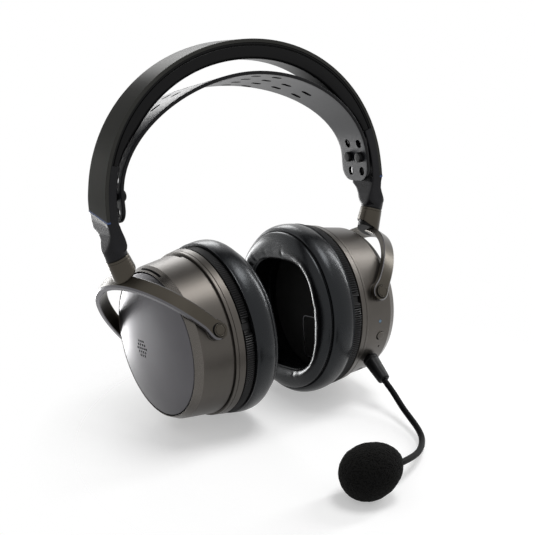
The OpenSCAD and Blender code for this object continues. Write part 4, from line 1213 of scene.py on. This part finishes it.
# Rows of (share of the way from the opening to the face seam, extra radius, depth share).
cushion_section = np.array([
    [1, 1.1, 0], [1, 1.9, -0.035], [1, 2.5, -0.1], [1, 2.9, -0.19], [1, 3.08, -0.29],
    [1, 3.1, -0.38], [1, 2.95, -0.47], [1, 2.55, -0.555], [1, 1.95, -0.625], [1, 1.2, -0.68],
    [1, 0.6, -0.706], [1, -0.1, -0.706], [1, -0.75, -0.698], [1, -0.95, -0.706],
    [1, -0.75, -0.725], [1, -0.6, -0.755], [0.93, 0, -0.81], [0.85, 0, -0.868],
    [0.75, 0, -0.92], [0.63, 0, -0.965], [0.5, 0, -0.99], [0.38, 0, -0.997], [0.27, 0, -0.985],
    [0.17, 0, -0.955], [0.09, 0, -0.915], [0.04, 0, -0.875], [0, 0.15, -0.84], [0, 0.45, -0.822],
    [0, 0.5, -0.812], [0, 0.3, -0.8], [0, -0.1, -0.775], [0, -0.3, -0.72], [0, -0.3, -0.6],
    [0, -0.1, -0.45], [0, 0.2, -0.3], [0, 0.5, -0.15], [0, 0.8, 0],
])


def smooth_curve(p0, p1, p2, p3, per_step):
    """A Catmull-Rom curve: rows from each p1 on to p2, with p0 before them and p3 beyond."""
    t = np.arange(per_step)[None, :, None] / per_step
    p0, p1, p2, p3 = (p[:, None] for p in (p0, p1, p2, p3))
    bend = 2 * p0 - 5 * p1 + 4 * p2 - p3 + t * (3 * (p1 - p2) + p3 - p0)
    return (p1 + 0.5 * t * (p2 - p0 + t * bend)).reshape(-1, p1.shape[-1])


def smooth_loop(rows, per_step):
    """More rows on a closed loop, through the given ones."""
    return smooth_curve(*(np.roll(rows, shift, 0) for shift in (1, 0, -1, -2)), per_step)


# %% The cushions
def pleats(angle, share, seed, count=46, deepest=0.55):
    """Radial creases at the inner seam: narrow dips at chosen angles, fading towards the middle."""
    rng = np.random.default_rng(seed)
    at = np.sort(rng.uniform(0, 2 * np.pi, count))
    size = rng.uniform(0.15, 1.0, count) * (0.45 + 0.55 * np.abs(np.sin(at)))
    width = rng.uniform(0.03, 0.06, count)
    away = (angle[:, None] - at + np.pi) % (2 * np.pi) - np.pi
    dips = (size * np.exp(-((away / width) ** 2))).sum(1)
    fade = np.exp(-((np.maximum(share, 0) / 0.3) ** 2))
    return deepest * dips[:, None] * fade


def cushion(side, steps=360):
    """The section stretched from the opening to the outer circle, with pleats and slow waves."""
    seed = 11 if side > 0 else 12
    share, extra, depth = smooth_loop(cushion_section, 3).T
    angle = full_turn(steps)
    cos, sin = np.cos(angle)[:, None], np.sin(angle)[:, None]
    outer = pad_seam + extra
    inner = opening_radius(angle)[:, None] + extra
    on_face = np.clip((0.85 - np.abs(depth)) / -0.15, 0, 1) * (share < 0.9)
    crease = pleats(angle, share, seed) * on_face
    phases = np.random.default_rng(seed + 7).uniform(0, 6, 4)
    waves = sum(
        size * np.sin(k * angle + phase)
        for k, size, phase in zip((3, 5, 8, 13), (0.10, 0.08, 0.06, 0.04), phases)
    )
    x = share * outer * cos + (1 - share) * inner * cos
    y = share * outer * sin + (1 - share) * (inner * sin + open_shift)
    w = pad_base + depth * pad_depth + crease + waves[:, None] * np.abs(depth)
    points = np.stack([x, y, np.minimum(w, pad_base)], -1)
    return [moved(skin(points, ring=True), in_cup, side)]


for piece in pair(
    "cushion", cushion,
    "cup", "black_leatherette", "ear_cushion", black_leatherette, crease=80, even=False,
):
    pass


# %% [markdown]
# ## Driver cloth
# At the bottom of the ear opening a thin black cloth is stretched over the driver. It is a disc
# that domes by a few tenths of a millimetre, and its weave is in the material.

# %% Driver cloth
cloth_r, cloth_w = 38.2, -14.8


def cloth_disc(side, rings=24, steps=96, sag=0.3):
    """Rings of points whose height dips by 0.3·(1 - (r/R)²) towards the head."""
    r = np.linspace(0.02, 1, rings)[:, None] * cloth_r
    points = polar(r, full_turn(steps), cloth_w - sag * (1 - (r / cloth_r) ** 2))
    return [moved(skin(points[::-1], caps=False), in_cup, side)]


cloths = pair(
    "ear_cloth", cloth_disc,
    "cup", "driver_cloth", "driver_cloth", driver_cloth, even=False,
)
for name, piece in zip(SIDES, cloths):
    "baffle_" + name

# %% The side mark in the left cup
def side_mark(wide=0.4, low=-15.35, high=-14.6):
    """A thin raised frame on the cloth: the outline and the same outline 0.4 mm further in."""
    outer = rounded([(9.8, -7.4), (-20, -7.4), (-20, -32.5), (9.8, -32.5)], 3.0, 8)
    middle = outer.mean(0)
    inner = middle + (outer - middle) * (1 - wide / np.abs(outer - middle).max(0))
    section = (outer, high), (outer, low), (inner, low), (inner, high)
    rows = [np.column_stack([line, np.full(len(line), w)]) for line, w in section]
    return moved(skin(np.stack(rows, 1), ring=True), in_cup)


mark = build("side_mark", side_mark(), crease=40)
finish_piece(mark, "left_cup", "frame_alloy", [], frame_alloy)

# %% [markdown]
# ## Button, plug and boom
# The small pieces on the left cup are revolved too. The button stands a little proud in its bore.
# The boom's plug is a tapered grip with a collar, slightly squared so that fingers can turn it.

# %% Button and plug
def button(radius=2.4, flange=3.2):
    """A slightly domed key, 0.45 mm proud of the drum, with a flange behind the wall."""
    face = drum_radius(button_at[1]) + 0.45
    under, over = face - 3.4, face - 2.8
    outline = rounded(
        [(AXIS, under), (flange, under), (flange, over), (radius, over), (radius, face),
         (AXIS, face + 0.12)],
        [AXIS, 0.1, 0.1, 0.1, 0.4, AXIS],
    )
    return moved(revolved(outline, 64), on_drum(*button_at))


def plug(steps=96, base=44.951):
    """The grip: rows of (height, radius) along the plug, its section squared by a superellipse."""
    rows = np.array([
        [-12, 0.01], [-12, 1.5], [-11.4, 1.75], [0, 1.75], [0, 4.1], [0.3, 4.5], [0.7, 4.6],
        [2.2, 4.58], [2.45, 4.3], [2.75, 4.3], [3.0, 4.42], [9, 4.02], [15.2, 3.62], [16.1, 3.5],
        [16.5, 3.1], [16.6, 2.6], [16.6, 0.01],
    ])
    angle = full_turn(steps)
    power = np.where(rows[:, 0] > 2.8, 2.5, 2.0)[:, None]
    round_it = (np.abs(np.cos(angle)) ** power + np.abs(np.sin(angle)) ** power) ** (-1 / power)
    r = rows[:, 1:] * round_it / np.maximum(round_it.max(1, keepdims=True), 1)
    return moved(skin(polar(r, angle, base + rows[:, :1])), on_drum(*boom_at))


power_cap = build("power_cap", button(), crease=40)
finish_piece(power_cap, "power_key", "gunmetal_shell", ["power_button"], gunmetal_shell)
boom_grip = build("boom_grip", plug(), crease=35)
finish_piece(boom_grip, "boom", "black_plastic", ["boom_plug"], black_plastic)

# %% [markdown]
# ## Gooseneck
# The boom is a bendable steel core in black rubber. Its middle line runs through a few points,
# and a Catmull-Rom curve joins them smoothly. Round every point a circle is laid square to the
# path. It bends between the plug and the microphone.

# %% Gooseneck
neck_r = 1.7
neck_from = np.array([51.833, -47.127, -39.750])  # inside the plug
neck_out = np.array([51.747, -49.457, -41.717])  # where it leaves the plug
route = np.array([
    [-0.8, -6.2, -3.9], [-3.3, -16.7, -9.9], [-9.3, -35.7, -16.4], [-16.8, -47.2, -18.9],
    [-30.8, -59.7, -18.4], [-48.8, -69.7, -15.9], [-60.8, -72.2, -14.4],
])


def smooth_path(points, per_step):
    """An open curve through the points, its end tangents taken from the end points doubled."""
    p = np.concatenate([points[:1], points, points[-1:]])
    curve = smooth_curve(*(p[k : len(points) - 1 + k] for k in range(4)), per_step)
    return np.concatenate([curve, points[-1:]])


def tube(path, radius, steps=24):
    """Circles square to a path: point + r·(u cos a + v sin a), with u and v across the tangent."""
    tangent = unit(np.gradient(path, axis=0))
    u = unit(np.cross(tangent, [0, 0, 1.0]))
    v = np.cross(tangent, u)
    a = full_turn(steps)[None, :, None]
    return skin(path[:, None] + radius * (u[:, None] * np.cos(a) + v[:, None] * np.sin(a)))


neck_path = smooth_path(np.concatenate([[neck_from, neck_out], neck_out + route]), 12)
neck = build("boom_neck", tube(neck_path, neck_r), crease=60)
neck.data.materials.append(neck_rubber)
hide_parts("gooseneck")
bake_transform(neck)
lengths = np.linalg.norm(np.diff(neck_path, axis=0), axis=1)
print(f"gooseneck: {lengths.sum():.1f} mm long")


# %% [markdown]
# ## Foam windscreen
# A ball of black open-cell foam is pulled over the microphone. It is an egg: a sphere that is a
# little longer than wide, and blunter at one end. Fine random dents make its outline soft, and the
# material adds the open cells, with painted shade in their pits.

# %% Foam windscreen
foam_wide, foam_long, foam_taper = 14.0, 16.5, 0.09


def turn(x, y, z):
    """The matrix that turns a point about X, then Y, then Z, by angles in degrees."""
    a = [Matrix.Rotation(np.radians(v), 3, axis) for v, axis in ((x, "X"), (y, "Y"), (z, "Z"))]
    return np.array(a[2] @ a[1] @ a[0])


def windscreen(steps=144, rows=96, waves=60, dent=0.006):
    """r = wide·sin a·(1 + taper·cos a), h = -long·cos a, with summed sine dents on top."""
    a = np.linspace(0.012, np.pi - 0.012, rows)[:, None]
    radius = foam_wide * np.sin(a) * (1 + foam_taper * np.cos(a))
    points = polar(radius, full_turn(steps), -foam_long * np.cos(a))
    rng = np.random.default_rng(5)
    ways = unit(rng.normal(size=(waves, 3)))
    pace = rng.uniform(0.8, 3.5, waves)
    dents = np.sin(points @ (ways * pace[:, None]).T + rng.uniform(0, 6.3, waves)).sum(-1) / 8
    points *= 1 + dent * dents[..., None]
    return skin(points @ turn(0, 68.4, -29).T + (neck_out + [-73.3, -74.7, -12.7]))


ball = build("foam_ball", windscreen(), crease=80)
finish_piece(ball, "mic_head", "foam", ["windscreen"], foam, even=False)

# %% [markdown]
# ## Pieces kept from the frame
# Washers, inserts, screws, sockets and all that is hidden in the cups are simple machined shapes,
# and the frame's own meshes are right. They only need their finishes.

# %% Finishes for the frame's own pieces
kept = {
    "accent_stripe": blue_accent, "end_screw": black_screw, "swivel_washer": black_plastic,
    "sleeve_insert": black_plastic, "baffle": black_plastic, "driver_frame": frame_alloy,
    "diaphragm": driver_film, "driver_magnet": magnet_steel, "baffle_screws": black_screw,
    "circuit_board": board_green, "battery": battery_wrap, "status_light": light_lens,
    "boom_socket": black_plastic, "charging_port": port_steel, "cable_socket": black_plastic,
    "mic_capsule": capsule_plastic,
}
for name, node in frame["nodes"].items():
    material = kept.get(name.removesuffix("_left").removesuffix("_right"))
    if material:
        node.data.materials[0] = material

# %% [markdown]
# ## Floor, light and camera
# The headset stands on a pale floor that fades out before any horizon, so the background stays
# white and only the soft shadow remains. The floor leans a little, as the headset does when it
# rests on its cups and its microphone. Large soft lamps at the sides and above shape the metal.

# %% Floor that fades into white
def white_world(light=0.4):
    """White to the camera, in reflections and through glass, and softer for the light it gives."""
    world = bpy.data.worlds.new("studio")
    bpy.context.scene.world = world
    world.use_nodes = True
    tree = world.node_tree
    path = tree.nodes.new("ShaderNodeLightPath")
    seen = path.outputs["Is Camera Ray"]
    for ray in ("Is Glossy Ray", "Is Transmission Ray"):
        either = tree.nodes.new("ShaderNodeMath")
        either.operation = "MAXIMUM"
        tree.links.new(seen, either.inputs[0])
        tree.links.new(path.outputs[ray], either.inputs[1])
        seen = either.outputs[0]
    level = tree.nodes.new("ShaderNodeMapRange")
    level.inputs["To Min"].default_value = light
    tree.links.new(seen, level.inputs["Value"])
    background = tree.nodes["Background"]
    background.inputs["Color"].default_value = (1, 1, 1, 1)
    tree.links.new(level.outputs[0], background.inputs["Strength"])


def floor_plane(size=300.0, steps=60):
    """z = -48.95 + 0.153·(y - 7.45), as a flat disc."""
    r = np.linspace(0.01, size, steps)[:, None]
    points = polar(r, full_turn(96), 0)
    points[..., 1] -= 30
    points[..., 2] = -48.95 + 0.153 * (points[..., 1] - 7.45)
    return build("floor", skin(points[::-1], caps=False))


def floor_finish(base=0.7, glow=0.38, middle=(0.02, -0.06, -0.06), fades=(0.1, 0.18)):
    """White and matt near the headset, see-through further out, lifted for camera and mirrors."""
    f = Finish("floor", Roughness=0.9, Specular_IOR_Level=0.0, Base_Color=(base, base, base, 1))
    at = f.node("ShaderNodeTexCoord", {}, {}, "Object")
    away = f.node("ShaderNodeVectorMath", {"operation": "DISTANCE"}, {0: at, 1: middle}, "Value")
    seen = f.node("ShaderNodeLightPath", {}, {}, "Is Camera Ray")
    mirrored = f.node("ShaderNodeLightPath", {}, {}, "Is Glossy Ray")
    lift = f.node("ShaderNodeEmission", {}, {"Strength": (seen + mirrored) * glow})
    added = f.node("ShaderNodeAddShader", {}, {0: Signal(f, f.shader.outputs[0]), 1: lift})
    clear = f.node("ShaderNodeBsdfTransparent", {}, {})
    mixed = f.node("ShaderNodeMixShader", {}, {0: away.between(*fades), 1: added, 2: clear})
    out = next(n for n in f.tree.nodes if n.type == "OUTPUT_MATERIAL")
    f.tree.links.new(mixed.socket, out.inputs["Surface"])
    return f.material


white_world()
floor = floor_plane()
floor.data.materials.append(floor_finish())


# %% Lamps
def lamp(name, at, towards, size, watts):
    """A soft square lamp that points at a place, all in metres."""
    data = bpy.data.lights.new(name, "AREA")
    data.shape, data.size, data.size_y, data.energy = "RECTANGLE", size[0], size[1], watts
    item = bpy.data.objects.new(name, data)
    item.location = at
    item.rotation_euler = (Vector(towards) - Vector(at)).to_track_quat("-Z", "Y").to_euler()
    bpy.context.scene.collection.objects.link(item)


lamp("low_soft", (-0.12, 0.85, 0.0), (0, 0, 0), (0.3, 0.5), 5.0)
lamp("right_soft", (0.8, -0.12, 0.45), (0, 0, 0), (0.12, 0.6), 3.4)
lamp("back_soft", (0.3, 0.75, 0.55), (0, 0, 0), (0.35, 0.3), 2.0)
lamp("top_soft", (0.2, -0.3, 0.85), (0, 0, 0.03), (0.4, 0.3), 3.6)

# %% [markdown]
# ## The camera
# A tripod head is set by three directions: the way it looks, its right and its up. They are
# worked out from a bearing, a tilt and a small roll, and written as the camera's matrix.

# %% Camera
def studio_camera(bearing, height, roll, far, at):
    """Looks at a point from a bearing and a height in degrees, with a lens of 1250 pixels."""
    b, h, k = (np.radians(v) for v in (bearing, height, roll))
    back = np.array([np.sin(b) * np.cos(h), -np.cos(b) * np.cos(h), np.sin(h)])
    level = np.array([np.cos(b), np.sin(b), 0])
    right = np.cos(k) * level + np.sin(k) * np.cross(level, -back)
    up = np.cross(right, -back)
    data = bpy.data.cameras.new("studio")
    sensor, focal, picture = 36.0, 1250, 535  # millimetres, pixels, pixels
    data.sensor_width, data.lens = sensor, sensor * focal / picture
    item = bpy.data.objects.new("studio", data)
    item.matrix_world = Matrix(
        [[right[k], up[k], back[k], at[k] + far * back[k]] for k in range(3)] + [[0, 0, 0, 1]]
    )
    bpy.context.scene.collection.objects.link(item)
    bpy.context.scene.camera = item


studio_camera(bearing=-33.327, height=10.715, roll=-5.023, far=0.69814, at=(0, -0.01511, 0.0317))
bpy.context.scene.view_settings.view_transform = "Standard"
